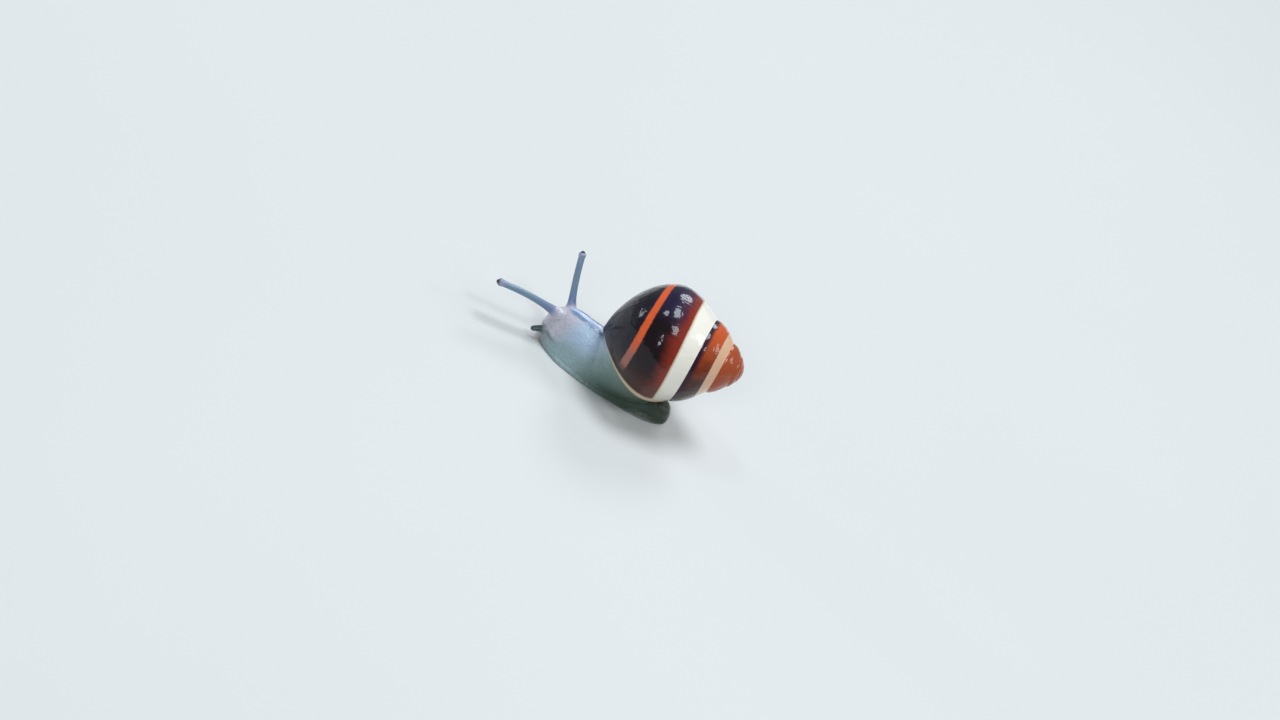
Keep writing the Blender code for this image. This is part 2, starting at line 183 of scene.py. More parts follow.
# %% [markdown]
# ## The rule of the shell
# A snail's shell is a tube that coils round an axis and widens as it goes.
# Two numbers name any point of it.  *back* counts turns backwards from the
# lip, 0 at the lip.  *along* runs over the whorl: 0 at the seam above it, 1 at
# its widest line, 2 at the axis.  The seam of one whorl is the widest line of
# the whorl before, which makes neighbours meet exactly.
# %% Shell sizes
SHELL = SimpleNamespace(
    # the seam: how much a turn grows, its radius at the lip, the domed tip and the cone
    growth=1.664, suture_radius=4.33, dome_radius=2.04, dome_height=1.57, dome_power=1.9,
    cone_slope=1.5, whorl_arch=1.75,
    # the last whorl: its widest line and its base, at the lip and one turn before
    lip_radius=5.29, lip_level=7.42, base_level=12.42, old_base_level=8.90,
    base_roundness=1.75, base_fullness=0.55, lip_roundness=1.70, lip_fullness=0.80,
    base_drop=1.9, flare=1.8, flare_drop=2.1,
    # the base's end by the axis, rounded off and then sloped one way
    blunt_from=0.93, blunt_by=7.1, end_drop=0.68, end_fall=0.55, end_slope=2.0,
    # the lip's slant, and the mouth
    slant_curve=2.5, lip_slant=math.radians(32), lip_angle=math.radians(63),
    mouth_radius=3.3, mouth_level=9.25, hollow_angle=math.radians(12))
SHELL_CENTRE, CENTRE_DEPTH = Vector((2.42, 0.0, 6.42)), 6.33    # a place on the axis, its depth
APEX_LIFT, APEX_SWING = math.radians(13.7), math.radians(2.6)
print("sizes in the shell's rule:", len(vars(SHELL)))


# %% Seam, widest line and whorl
def suture(s, back):
    """Radius and depth of the seam between two whorls."""
    radius = s.suture_radius * s.growth ** (-back)
    dome = s.dome_height * (radius / s.dome_radius) ** s.dome_power
    cone = s.dome_height + s.cone_slope * (radius - s.dome_radius)
    return radius, pick(above(s.dome_radius, radius), dome, cone)


def widest(s, back):
    """Radius and depth of the widest line, which the next seam follows."""
    radius, depth = suture(s, 0.0)
    last = smaller(back, 1.0)
    old_radius, old_depth = suture(s, larger(back, 1.0) - 1.0)
    is_old = above(back, 1.0)
    new_radius = s.lip_radius - (s.lip_radius - radius) * last ** s.flare
    new_depth = s.lip_level - (s.lip_level - depth) * last ** s.flare_drop
    return pick(is_old, old_radius, new_radius), pick(is_old, old_depth, new_depth)


def whorl_point(s, back, along):
    """Radius and depth of a point of the shell."""
    top_radius, top = suture(s, back)
    wide_radius, wide = widest(s, back)
    upper = smaller(along, 1.0)
    upper_radius = top_radius + (wide_radius - top_radius) * (1 - (1 - upper) ** s.whorl_arch)
    base = s.base_level - (s.base_level - s.old_base_level) * smaller(back, 1.0) ** s.base_drop
    drop = sine(larger(along - 1, 0.0) * (math.pi / 2))
    lip_share = larger(1 - 2 * back, 0.0)
    blunt = drop - s.blunt_by * larger(drop - s.blunt_from, 0.0) ** 2
    near_axis = (larger(drop - s.blunt_from, 0.0) / (1 - s.blunt_from)) ** s.end_slope
    end = s.base_level - s.end_drop - s.end_fall * back
    base = base + (smaller(base, end) - base) * near_axis
    roundness = s.base_roundness + (s.lip_roundness - s.base_roundness) * lip_share
    fullness = s.base_fullness + (s.lip_fullness - s.base_fullness) * lip_share
    lower_radius = wide_radius * larger(1 - drop ** roundness, 0.0) ** fullness
    is_lower = above(along, 1.0)
    return (pick(is_lower, lower_radius, upper_radius),
            pick(is_lower, wide + (base - wide) * blunt, top + (wide - top) * upper))


print("lip, radius and depth (mm):", [round(c, 2) for c in whorl_point(SHELL, 0, 1)])


# %% Angle, mouth and place of a shell point
def shell_angle(s, back, along):
    """Angle about the axis; the lip slants, so its lower end lags behind."""
    slant = s.lip_slant * (1 - (1 - along / 2) ** s.slant_curve) * larger(1 - back, 0.0)
    return s.lip_angle - math.tau * back - slant


def mouth_point(s, back, along, share, depth_share):
    """A point in the shell's mouth: share 0 is its rim and 1 its middle."""
    radius, depth = whorl_point(s, back, along)
    angle = shell_angle(s, back, along) + math.tau * back
    return (radius + (s.mouth_radius - radius) * share,
            depth + (s.mouth_level - depth) * share,
            angle + (s.hollow_angle - angle) * depth_share)


def shell_axes():
    """Unit vectors: to the apex, level to the left, and down across the axis."""
    lift, swing = APEX_LIFT, APEX_SWING
    apex = Vector((math.cos(lift) * math.cos(swing), -math.cos(lift) * math.sin(swing),
                   math.sin(lift)))
    left = Vector((-math.sin(swing), -math.cos(swing), 0.0))
    return apex, left, apex.cross(left)


CARRIAGE = Matrix(shell_axes()).transposed()      # turns the shell's directions into the world's


def place_on_shell(radius, depth, angle):
    local = Vector((CENTRE_DEPTH - depth, radius * math.cos(angle), radius * math.sin(angle)))
    return SHELL_CENTRE + CARRIAGE @ local


print("lip's widest point (mm):",
      [round(c, 2) for c in place_on_shell(*whorl_point(SHELL, 0, 1), shell_angle(SHELL, 0, 1))])

# %% [markdown]
# ## Helpers for node trees
# Each piece made by nodes needs the same steps: a tree with named inputs,
# nodes wired into it, an end that realizes instances and sets the material,
# and a run that keeps a plain mesh.  They could be written out each time, but
# as helpers they leave the trees themselves short enough to read.
# %% Helpers for node trees
def label(name):
    return name.replace("_", " ").capitalize()


def new_tree(name, sizes):
    """A Geometry Nodes tree with named number inputs and a material input."""
    tree = bpy.data.node_groups.new(name, "GeometryNodeTree")
    tree.interface.new_socket("Geometry", in_out="OUTPUT", socket_type="NodeSocketGeometry")
    tree.interface.new_socket("Geometry", in_out="INPUT", socket_type="NodeSocketGeometry")
    for title, value in sizes.items():
        kind = "NodeSocketInt" if isinstance(value, int) else "NodeSocketFloat"
        tree.interface.new_socket(title, in_out="INPUT", socket_type=kind)
    tree.interface.new_socket("Material", in_out="INPUT", socket_type="NodeSocketMaterial")
    source = tree.nodes.new("NodeGroupInput")
    given = {socket.name: Field(tree, socket) for socket in source.outputs if socket.name}
    return tree, given


def node(tree, kind, settings=None, **inputs):
    """A node with its settings made and its inputs fed, named with _ for spaces."""
    made = tree.nodes.new(kind)
    for key, value in (settings or {}).items():
        setattr(made, key, value)
    for key, value in inputs.items():
        feed(tree, made.inputs[key.replace("_", " ")], value)
    return made


def out(made, key=0):
    return Field(made.id_data, made.outputs[key])


def vector(tree, x, y, z):
    return out(node(tree, "ShaderNodeCombineXYZ", X=x, Y=y, Z=z))


def xyz(field):
    split = node(field.tree, "ShaderNodeSeparateXYZ", Vector=field)
    return out(split, 0), out(split, 1), out(split, 2)


NOISE_SPREAD = 2.4                  # stretches Blender's noise, which keeps near its middle


def noise(tree, at, scale, detail=2.0):
    """Smooth noise from about -1 to 1."""
    made = node(tree, "ShaderNodeTexNoise", Vector=at, Scale=scale, Detail=detail)
    return (out(made, 0) - 0.5) * NOISE_SPREAD


print("an input's name:", label("lip_slant"))


# %% Ending a tree and running it
def joined(tree, parts):
    made = tree.nodes.new("GeometryNodeJoinGeometry")
    for part in reversed(parts):
        tree.links.new(part.socket, made.inputs[0])
    return out(made)


def finish_tree(tree, geometry, given):
    real = node(tree, "GeometryNodeRealizeInstances", Geometry=geometry)
    painted = node(tree, "GeometryNodeSetMaterial", Geometry=out(real),
                   Material=given["Material"])
    sink = tree.nodes.new("NodeGroupOutput")
    tree.links.new(painted.outputs[0], sink.inputs[0])


def run_tree(tree, name, sizes, material, mesh=None):
    """A plain mesh made by the tree, with its inputs set by their identifiers."""
    holder = bpy.data.objects.new(name, mesh or bpy.data.meshes.new(name))
    scene.collection.objects.link(holder)
    modifier = holder.modifiers.new("nodes", "NODES")
    modifier.node_group = tree
    for item in tree.interface.items_tree:
        if item.in_out == "INPUT" and item.name in sizes:
            modifier[item.identifier] = sizes[item.name]
        if item.in_out == "INPUT" and item.name == "Material":
            modifier[item.identifier] = material
    depsgraph = bpy.context.evaluated_depsgraph_get()
    result = bpy.data.meshes.new_from_object(holder.evaluated_get(depsgraph))
    bpy.data.meshes.remove(holder.data)
    result.name = name
    return result


print("node trees so far:", len(bpy.data.node_groups))

# %% [markdown]
# ## Winding the shell with Geometry Nodes
# Four grids are bent into place by the rule: the upper half of every whorl,
# the lower half of the last one, the mouth and the closed tip.  Each stores
# where it lies on the spiral in a UV map named *whorl*, one pair of numbers
# for each face corner, so that the two sides of a seam keep their own values.
# The grids meet edge to edge, and Merge by Distance makes them one closed
# shell.  Growth lines are a slight relief along the normals.
# %% A sheet that follows a rule
SHELL_INPUTS = {
    "Turns": 6.5, "Steps in a turn": 240, "Upper steps": 24, "Lower steps": 60,
    "Lip steps": 10, "Mouth steps": 22, "Tip steps": 2, "Lip width": 0.085, "Lip roll": 0.03,
    "Growth ridges": 0.011, "Fine lines": 0.0022, "Swell": 0.0,
    **{label(name): value for name, value in vars(SHELL).items()}}
STREAK = 26.0                       # growth ridges in one turn
MERGE = 0.0012                      # points closer than this become one


def grid_sheet(tree, columns, rows, rule, relief):
    """A grid whose points go where rule(u, v) says; u and v run from 0 to 1."""
    grid = node(tree, "GeometryNodeMeshGrid", Size_X=1.0, Size_Y=1.0,
                Vertices_X=columns + 1.5, Vertices_Y=rows + 1.5)
    x, y, _ = xyz(out(node(tree, "GeometryNodeInputPosition")))
    (radius, depth, angle), back, along, worn = rule(x + 0.5, y + 0.5)
    caught = node(tree, "GeometryNodeCaptureAttribute", {"domain": "POINT"})
    items = caught.capture_items
    items.new("VECTOR", "place")
    items.new("VECTOR", "mark")
    items.new("FLOAT", "relief")
    tree.links.new(grid.outputs["Mesh"], caught.inputs["Geometry"])
    feed(tree, caught.inputs["mark"], vector(tree, back, along, 0.0))
    feed(tree, caught.inputs["relief"], relief(back, along) * worn)
    place = vector(tree, depth * -1.0 + CENTRE_DEPTH, radius * cosine(angle),
                   radius * sine(angle))
    feed(tree, caught.inputs["place"], place)
    moved = node(tree, "GeometryNodeSetPosition", Geometry=out(caught, "Geometry"),
                 Position=out(caught, "place"))
    marked = node(tree, "GeometryNodeStoreNamedAttribute",
                  {"data_type": "FLOAT2", "domain": "CORNER"}, Geometry=out(moved),
                  Name="whorl", Value=out(caught, "mark"))
    ridged = node(tree, "GeometryNodeStoreNamedAttribute",
                  {"data_type": "FLOAT", "domain": "POINT"}, Geometry=out(marked),
                  Name="relief", Value=out(caught, "relief"))
    return out(ridged)


def flipped(geometry):
    return out(node(geometry.tree, "GeometryNodeFlipFaces", Mesh=geometry))


print("inputs of the shell's tree:", len(SHELL_INPUTS))

# %% The shell's tree
SEAM_FADE = 5                       # relief is full a fifth of the way from a seam
TURN_FADE_FROM, TURN_FADE = 0.9, 10  # and fades over the tenth of a turn where sheets meet
BASE_FADE = 2                       # it fades over the half of the base near the axis
LIP_SWELL, LIP_START = 1.5, 0.2     # how soon below the seam the lip gets its roll
ROLL_FADE_FROM, ROLL_FADE = 0.6, 0.4    # where on the base the roll fades, over how much
MOUTH_CURVE = 2.4                   # how late the mouth's wall turns to its middle


def build_shell_tree():
    tree, given = new_tree("wind a shell", SHELL_INPUTS)
    s = SimpleNamespace(**{name: given[label(name)] for name in vars(SHELL)})
    turns, turn_steps = given["Turns"], given["Steps in a turn"]
    upper, lower = given["Upper steps"], given["Lower steps"]

    def relief(back, along):
        ridge = noise(tree, vector(tree, back * STREAK, along * 1.3, 3.0), 1.0, 3.0)
        line = noise(tree, vector(tree, back * STREAK * 6, along * 2.0, 9.0), 1.0, 2.0)
        age = larger(1 - back * 0.3, 0.25)
        return (ridge * given["Growth ridges"] + line * given["Fine lines"]) * age

    def upper_rule(u, v):
        back = turns * (1 - u)
        by_turn = pick(above(back, TURN_FADE_FROM),
                       1 - (back - TURN_FADE_FROM) * TURN_FADE, 1.0)
        by_base = smaller((1 - v) * SEAM_FADE, 1.0)
        at_seam = smaller(v * SEAM_FADE, 1.0) * pick(above(back, 1.0), by_base, by_turn)
        point = whorl_point(s, back, v)
        return (*point, shell_angle(s, back, v)), back, v, at_seam

    def lower_rule(u, v):
        back, along = 1 - u, 1 + v
        worn = clamped((1 - v) * BASE_FADE) ** 2 * clamped((1 - back) * TURN_FADE)
        point = whorl_point(s, back, along)
        return (*point, shell_angle(s, back, along)), back, along, worn

    def mouth_rule(u, v):
        at = u * (upper + lower * 2 + turn_steps)
        back = clamped((at - upper - lower) / turn_steps)
        along = (smaller(at / upper, 1.0) + clamped((at - upper) / lower)
                 - clamped((at - upper - lower - turn_steps) / lower))
        step = v * (given["Lip steps"] + given["Mouth steps"])
        roll = clamped(step / given["Lip steps"]) * math.pi
        inside = clamped((step - given["Lip steps"]) / given["Mouth steps"])
        on_lip = (clamped(at / upper * LIP_SWELL - LIP_START)
                  * (1 - clamped((at - upper - lower * ROLL_FADE_FROM)
                                 / (lower * ROLL_FADE))))
        width = given["Lip width"]
        step_in = (1 - cosine(roll)) / 2
        share = width * step_in + (1 - width) * inside ** MOUTH_CURVE
        deep = (1 - (1 - inside) ** 2 * (1 - given["Lip roll"] * step_in * (1 - on_lip))
                - given["Lip roll"] * sine(roll) * on_lip)
        point = mouth_point(s, back, along, share, deep)
        return point, v * -1.0, along, 0.0 * v

    def tip_rule(u, v):
        at = u * (turn_steps + upper)
        back = turns - clamped(at / turn_steps)
        along = clamped((at - turn_steps) / upper)
        back = pick(above(along, 0.0), turns, back)
        along = pick(above(along, 0.0), 1 - along, 0.0)
        radius, depth = whorl_point(s, back, along)
        point = (radius * (1 - v), depth * (1 - v), shell_angle(s, back, along))
        return point, back, along, 0.0 * v

    sheets = [flipped(grid_sheet(tree, turns * turn_steps, upper, upper_rule, relief)),
              flipped(grid_sheet(tree, turn_steps, lower, lower_rule, relief)),
              grid_sheet(tree, upper + lower * 2 + turn_steps,
                         given["Lip steps"] + given["Mouth steps"], mouth_rule, relief),
              grid_sheet(tree, turn_steps + upper, given["Tip steps"], tip_rule, relief)]
    whole = node(tree, "GeometryNodeMergeByDistance", Geometry=joined(tree, sheets),
                 Distance=MERGE)
    stored = node(tree, "GeometryNodeInputNamedAttribute", {"data_type": "FLOAT"}, Name="relief")
    height = out(stored) + given["Swell"]
    normal = xyz(out(node(tree, "GeometryNodeInputNormal")))
    swollen = node(tree, "GeometryNodeSetPosition", Geometry=out(whole),
                   Offset=vector(tree, *(part * height for part in normal)))
    carried = node(tree, "GeometryNodeTransform", Geometry=out(swollen),
                   Translation=SHELL_CENTRE, Rotation=CARRIAGE.to_euler())
    finish_tree(tree, out(carried), given)
    return tree


shell_tree = build_shell_tree()
print("nodes in the shell's tree:", len(shell_tree.nodes))


# %% Closing a mesh
def closed(mesh):
    """Drop collapsed faces, turn the rest outwards, and count open edges."""
    shape = bmesh.new()
    shape.from_mesh(mesh)
    bmesh.ops.remove_doubles(shape, verts=shape.verts, dist=MERGE)
    bmesh.ops.dissolve_degenerate(shape, edges=shape.edges, dist=MERGE / 4)
    bmesh.ops.recalc_face_normals(shape, faces=shape.faces)
    open_edges = sum(len(edge.link_faces) != 2 for edge in shape.edges)
    volume = shape.calc_volume(signed=True)
    shape.to_mesh(mesh)
    shape.free()
    return open_edges, volume


print("points merge within", MERGE, "mm")

# %% [markdown]
# ## The soft body: sections along a bent line
# A crawling snail's foot, neck and head are one soft tube with a flat sole.
# Its midline on the ground is straight at the tail and curves to one side at
# the head.  A table of stations gives height and widths along that line, and
# a smooth curve through the table gives a section wherever one is wanted.
# Sections are easier to check against a real animal than sculpted strokes.
# %% Body sections
BEND_START, BEND_RADIUS = -0.9, 10.3
STATIONS = (                        # along, height, half width, half width of the sole
    (-6.85, 0.55, 0.35, 0.40), (-6.55, 1.15, 0.78, 0.95), (-5.90, 1.55, 1.15, 1.50),
    (-4.60, 1.68, 1.50, 2.02), (-2.60, 1.75, 1.68, 2.22), (-1.00, 2.20, 1.72, 2.22),
    (0.60, 3.55, 1.74, 2.15), (2.00, 4.22, 1.72, 2.08), (3.40, 4.18, 1.64, 2.04),
    (4.60, 3.98, 1.62, 1.68), (5.20, 3.90, 1.62, 1.48), (6.30, 3.80, 1.60, 1.20))
SNOUT_LENGTH, SNOUT_POWER, SNOUT_HEIGHT, FACE_END = 2.10, 2.05, 1.60, 0.11
FACE_ROUNDING = 0.5                 # how much less square the sections get at the face
SOLE_FLARE, ARCH, SHOULDER = 7, 2.4, 0.6
HALF_STEPS, BODY_STEPS = 22, 110
SNOUT_RINGS = (0.15, 0.3, 0.45, 0.6, 0.72, 0.82, 0.9, 0.96, 0.99)   # closer at the tip


def smooth_keys(keys, at):
    """Values between rows of keys by a smooth curve; the first column is where."""
    at = min(max(at, keys[0][0]), keys[-1][0])
    row = next(i for i in range(len(keys) - 1) if at <= keys[i + 1][0])
    before, start = keys[max(row - 1, 0)], keys[row]
    end, after = keys[row + 1], keys[min(row + 2, len(keys) - 1)]
    span = end[0] - start[0]
    t = (at - start[0]) / span
    values = []
    for k in range(1, len(start)):
        rise_in = (end[k] - before[k]) / (end[0] - before[0]) * span
        rise_out = (after[k] - start[k]) / (after[0] - start[0]) * span
        values.append((2 * t**3 - 3 * t**2 + 1) * start[k] + (t**3 - 2 * t**2 + t) * rise_in
                      + (3 * t**2 - 2 * t**3) * end[k] + (t**3 - t**2) * rise_out)
    return values


def midline(along):
    """Place on the ground, and the directions forward and left, at a station."""
    turn = max(along, 0.0) / BEND_RADIUS
    place = Vector((BEND_START - BEND_RADIUS * math.sin(turn) - min(along, 0.0),
                    BEND_RADIUS * (1 - math.cos(turn)), 0))
    return (place, Vector((-math.cos(turn), math.sin(turn), 0)),
            Vector((-math.sin(turn), -math.cos(turn), 0)))


def from_midline(along, sideways, up):
    place, _, left = midline(along)
    return place + left * sideways + Vector((0, 0, up))


print("height and half widths at 0 (mm):", [round(c, 2) for c in smooth_keys(STATIONS, 0.0)])


# %% Body tube
def body_ring(along):
    """A cross section: flat sole, spreading edge, side and rounded back."""
    height, body, sole = smooth_keys(STATIONS, along)
    snout_start = STATIONS[-1][0] - SNOUT_LENGTH * (1 - FACE_END)
    into_snout = min(1.0, max(0.0, along - snout_start) / SNOUT_LENGTH)
    shrink = max(0.02, 1 - into_snout ** SNOUT_POWER) ** (1 / SNOUT_POWER)
    arch = ARCH - FACE_ROUNDING * into_snout
    shoulder = SHOULDER * (1 - into_snout)
    half = []
    for k in range(HALF_STEPS + 1):
        share = math.sin(math.pi / 2 * k / HALF_STEPS)
        width = body * max(0.0, 1 - share ** (arch + shoulder)) ** (1 / arch)
        half.append((width + (sole - body) * (1 - share) ** SOLE_FLARE, height * share))
    section = half + [(-width, up) for width, up in half[-2::-1]]
    section += [(sole * side, 0.0) for side in (-0.5, 0.0, 0.5)]
    return [from_midline(along, width * shrink, SNOUT_HEIGHT + (up - SNOUT_HEIGHT) * shrink)
            for width, up in section]


def solid(name, rings):
    """A closed triangle mesh through equal rings, with a fan over both ends."""
    shape = bmesh.new()
    rows = [[shape.verts.new(point) for point in ring] for ring in rings]
    for low, high in zip(rows, rows[1:]):
        for k in range(len(low)):
            shape.faces.new((low[k - 1], low[k], high[k], high[k - 1]))
    for row in (rows[0], rows[-1]):
        centre = shape.verts.new(sum((v.co for v in row), Vector()) / len(row))
        for k in range(len(row)):
            shape.faces.new((row[k - 1], row[k], centre))
    bmesh.ops.remove_doubles(shape, verts=shape.verts, dist=MERGE)
    bmesh.ops.triangulate(shape, faces=shape.faces)
    bmesh.ops.recalc_face_normals(shape, faces=shape.faces)
    made = bpy.data.objects.new(name, bpy.data.meshes.new(name))
    shape.to_mesh(made.data)
    shape.free()
    scene.collection.objects.link(made)
    return made


tail, snout = STATIONS[0][0], STATIONS[-1][0]
places = [tail + (snout - tail) * k / BODY_STEPS for k in range(BODY_STEPS + 1)]
places += [snout + SNOUT_LENGTH * FACE_END * share for share in SNOUT_RINGS]
flesh = solid("flesh", [body_ring(at) for at in places])
print("body tube:", len(flesh.data.vertices), "points in", len(places), "rings")

# %% [markdown]
# ## The collar that fills the shell's mouth
# Where the foot meets the shell, the flesh widens into a thick collar.  Its
# edge lies just inside the lip and it closes the opening.  Rings start deep in
# the mouth, come out over a rounded edge and then run down to an oval on the
# foot.  The mouth's own formula places them, so the collar fits the lip.
# %% Collar
COLLAR_CENTRE, COLLAR_LENGTH, COLLAR_WIDTH = Vector((0.1, -0.12, 0.5)), 3.5, 1.75
COLLAR_RINGS = ((0.35, 1.1), (0.30, 0.7), (0.22, 0.3), (0.15, 0.08), (0.105, 0.0),
                (0.095, -0.02), (0.11, -0.045), (0.15, -0.055))   # share, depth share
COLLAR_SPREAD = (0.12, 0.25, 0.4, 0.55, 0.7, 0.85, 1.0)     # from its edge to the foot
LIP_LOOP = ([(0, k / 10) for k in range(10)] + [(0, 1 + k / 24) for k in range(25)]
            + [(k / 14, 2) for k in range(1, 14)] + [(1, 2 - k / 24) for k in range(24)])


def mouth_ring(share, depth_share):
    return [place_on_shell(*mouth_point(SHELL, back, along, share, depth_share))
            for back, along in LIP_LOOP]


def shares_around(loop):
    """How far round a closed loop each of its points lies, from 0 to 1."""
    lengths = [0.0]
    for a, b in zip(loop, loop[1:] + loop[:1]):
        lengths.append(lengths[-1] + (b - a).length)
    return [length / lengths[-1] for length in lengths[:-1]]


collar_rings = [mouth_ring(*shares) for shares in COLLAR_RINGS]
collar_edge = collar_rings[-1]
on_foot = [COLLAR_CENTRE + Vector((COLLAR_LENGTH * math.cos(math.tau * share),
                                   -COLLAR_WIDTH * math.sin(math.tau * share), 0))
           for share in shares_around(collar_edge)]
for share in COLLAR_SPREAD:
    collar_rings.append([a.lerp(b, share) for a, b in zip(collar_edge, on_foot)])
collar = solid("collar", collar_rings)
print("collar rings:", len(collar_rings))

# %% [markdown]
# ## Feelers
# Two long stalks carry the eyes and two short feelers test the ground.  Each
# is a round tube along a slightly sagging path, wide where it leaves the head.
# A stalk ends in a bulb, rounded off like half a ball, and a lower feeler
# narrows to a soft tip.
# %% Feelers
FEELER_SIDES = 28
EYE_STALK_ROOT, FEELER_ROOT = (5.55, 0.90, 2.95), (5.35, 0.95, 1.32)
STALK_ROOT_RADIUS, STALK_RADIUS, BULB_RADIUS = 0.62, 0.285, 0.35
STALK_END, BULB_AT, BULB_SPREAD, ROOT_FADE = 0.990, 0.950, 0.035, 0.11
FEELER_ROOT_RADIUS, FEELER_RADIUS, EYE_RADIUS = 0.50, 0.22, 0.20
ROOT_DEPTH, ROOT_RINGS = 0.85, 9    # each root goes on into the head with a round end
TIP_FROM, SHAFT_RINGS, TIP_RINGS = 0.84, 60, 40     # the rings are closer near the tip
FEELERS = {                         # root, side, reach and sag: forwards, left, up
    "left_stalk": (EYE_STALK_ROOT, 1, (4.30, 4.60, 0.67), (0.0, 0.10, 0.28)),
    "right_stalk": (EYE_STALK_ROOT, -1, (2.53, -0.87, 4.25), (0.08, 0.06, 0.0)),
    "left_feeler": (FEELER_ROOT, 1, (1.05, 1.05, -0.62), (0.0, 0.0, 0.05)),
    "right_feeler": (FEELER_ROOT, -1, (1.05, -1.05, -0.62), (0.0, 0.0, 0.05))}


def feeler_path(root, side, reach, sag):
    along, sideways, up = root
    _, forward, left = midline(along)
    begin = from_midline(along, sideways * side, up)
    whole = forward * reach[0] + left * reach[1] + Vector((0, 0, reach[2]))
    droop = forward * sag[0] + left * sag[1] + Vector((0, 0, sag[2]))
    return lambda t: begin + whole * t + droop * math.sin(math.pi * t)


print("feelers to make:", len(FEELERS))


# %% Feeler tubes
def round_ring(centre, ahead, size):
    across = ahead.cross(Vector((0, 0, 1))).normalized()
    upward = across.cross(ahead)
    turns = [math.tau * side / FEELER_SIDES for side in range(FEELER_SIDES)]
    return [centre + (across * math.cos(a) + upward * math.sin(a)) * size for a in turns]


def heading(path, t):
    return (path(t + 0.01) - path(t - 0.01)).normalized()


def rounded_end(t, start, end):
    """Shrinks a radius to nothing between start and end, like half a ball."""
    return math.sqrt(max(1e-4, 1 - max(0.0, (t - start) / (end - start)) ** 2))


def stalk_radius(t):
    root = (STALK_ROOT_RADIUS - STALK_RADIUS) * math.exp(-t / ROOT_FADE)
    bulb = (BULB_RADIUS - STALK_RADIUS) * math.exp(-((t - BULB_AT) / BULB_SPREAD) ** 2)
    return (STALK_RADIUS + root + bulb) * rounded_end(t, BULB_AT, STALK_END)


def feeler_radius(t):
    shaft = FEELER_RADIUS + (FEELER_ROOT_RADIUS - FEELER_RADIUS) * (1 - t) ** 2
    return shaft * rounded_end(t, TIP_FROM, 1.0)


def tube(name, path, radius, ends):
    buried = ROOT_DEPTH / (path(1) - path(0)).length
    quarter = [math.pi / 2 * k / ROOT_RINGS for k in range(1, ROOT_RINGS)]
    rings = [round_ring(path(-buried * math.cos(a)), heading(path, 0.0),
                        radius(0.0) * math.sin(a)) for a in quarter]
    steps = [k / SHAFT_RINGS * TIP_FROM for k in range(SHAFT_RINGS)]
    steps += [TIP_FROM + (1 - TIP_FROM) * math.sin(math.pi / 2 * k / TIP_RINGS)
              for k in range(TIP_RINGS + 1)]
    rings += [round_ring(path(ends * step), heading(path, ends * step), radius(ends * step))
              for step in steps]
    return solid(name, rings)


paths = {name: feeler_path(*sizes) for name, sizes in FEELERS.items()}
feelers = [tube(name, path, *((stalk_radius, STALK_END) if "stalk" in name
                              else (feeler_radius, 1.0)))
           for name, path in paths.items()]
print("feelers:", ", ".join(paths))

# %% [markdown]
# ## One skin
# The tube, the collar and the feelers are closed solids, so the quick manifold
# Boolean can join them.  Room for the shell is cut away with a slightly
# swollen shell from the same node tree.  The sharp meeting lines are wrong for
# soft skin, so a voxel remesh rebuilds the whole as one even net of small
# squares, and a few rounds of relaxing smooth the creases as skin would.
# %% Join, cut and remesh
SHELL_ROOM = 0.05                   # the gap left between skin and shell
VOXEL = 0.064                       # the size of the skin net's squares


def combine(item, tool, operation):
    """Apply a Boolean of item with tool, and drop the tool."""
    triangulate(item.data)
    step = item.modifiers.new(operation.lower(), "BOOLEAN")
    step.operation, step.solver, step.object = operation, "MANIFOLD", tool
    settle(item)
    bpy.data.objects.remove(tool, do_unlink=True)


def settle(item):
    """Keep what the modifiers make as the object's own mesh."""
    depsgraph = bpy.context.evaluated_depsgraph_get()
    item.data = bpy.data.meshes.new_from_object(item.evaluated_get(depsgraph))
    item.modifiers.clear()


def triangulate(mesh):
    shape = bmesh.new()
    shape.from_mesh(mesh)
    bmesh.ops.triangulate(shape, faces=shape.faces)
    shape.to_mesh(mesh)
    shape.free()


for tool in [collar, *feelers]:
    combine(flesh, tool, "UNION")
room = run_tree(shell_tree, "room", {
    **SHELL_INPUTS, "Growth ridges": 0.0, "Fine lines": 0.0, "Swell": SHELL_ROOM,
    "Turns": 3.5, "Steps in a turn": 72, "Upper steps": 10, "Lower steps": 24}, None)
closed(room)
triangulate(room)
room_object = bpy.data.objects.new("room", room)
scene.collection.objects.link(room_object)
combine(flesh, room_object, "DIFFERENCE")
remesh = flesh.modifiers.new("remesh", "REMESH")
remesh.mode, remesh.voxel_size, remesh.adaptivity = "VOXEL", VOXEL, 0.0
settle(flesh)
print("skin net:", len(flesh.data.vertices), "points")

# %% [markdown]
# ## Relaxing, and finding every point's place on the body
# Relaxing moves each point towards the middle of its neighbours, then a little
# back so that the body doesn't shrink.  After that each point is measured in
# the body's own terms: how far along the midline, how far sideways, how high,
# and how far out on which feeler.  Every fold and colour zone below is written
# in those terms, so it stays put if the body is reshaped.
# %% Relax a mesh
RELAX_STEPS = (0.55, -0.56)         # towards the neighbours, then back a little further
RELAX_ROUNDS = 5


def mesh_points(mesh):
    flat = np.empty(len(mesh.vertices) * 3)
    mesh.vertices.foreach_get("co", flat)
    return flat.reshape(-1, 3)


def set_points(mesh, points):
    mesh.vertices.foreach_set("co", points.ravel())
    mesh.update()


def point_normals(mesh):
    flat = np.empty(len(mesh.vertices) * 3)
    mesh.vertices.foreach_get("normal", flat)
    return flat.reshape(-1, 3)


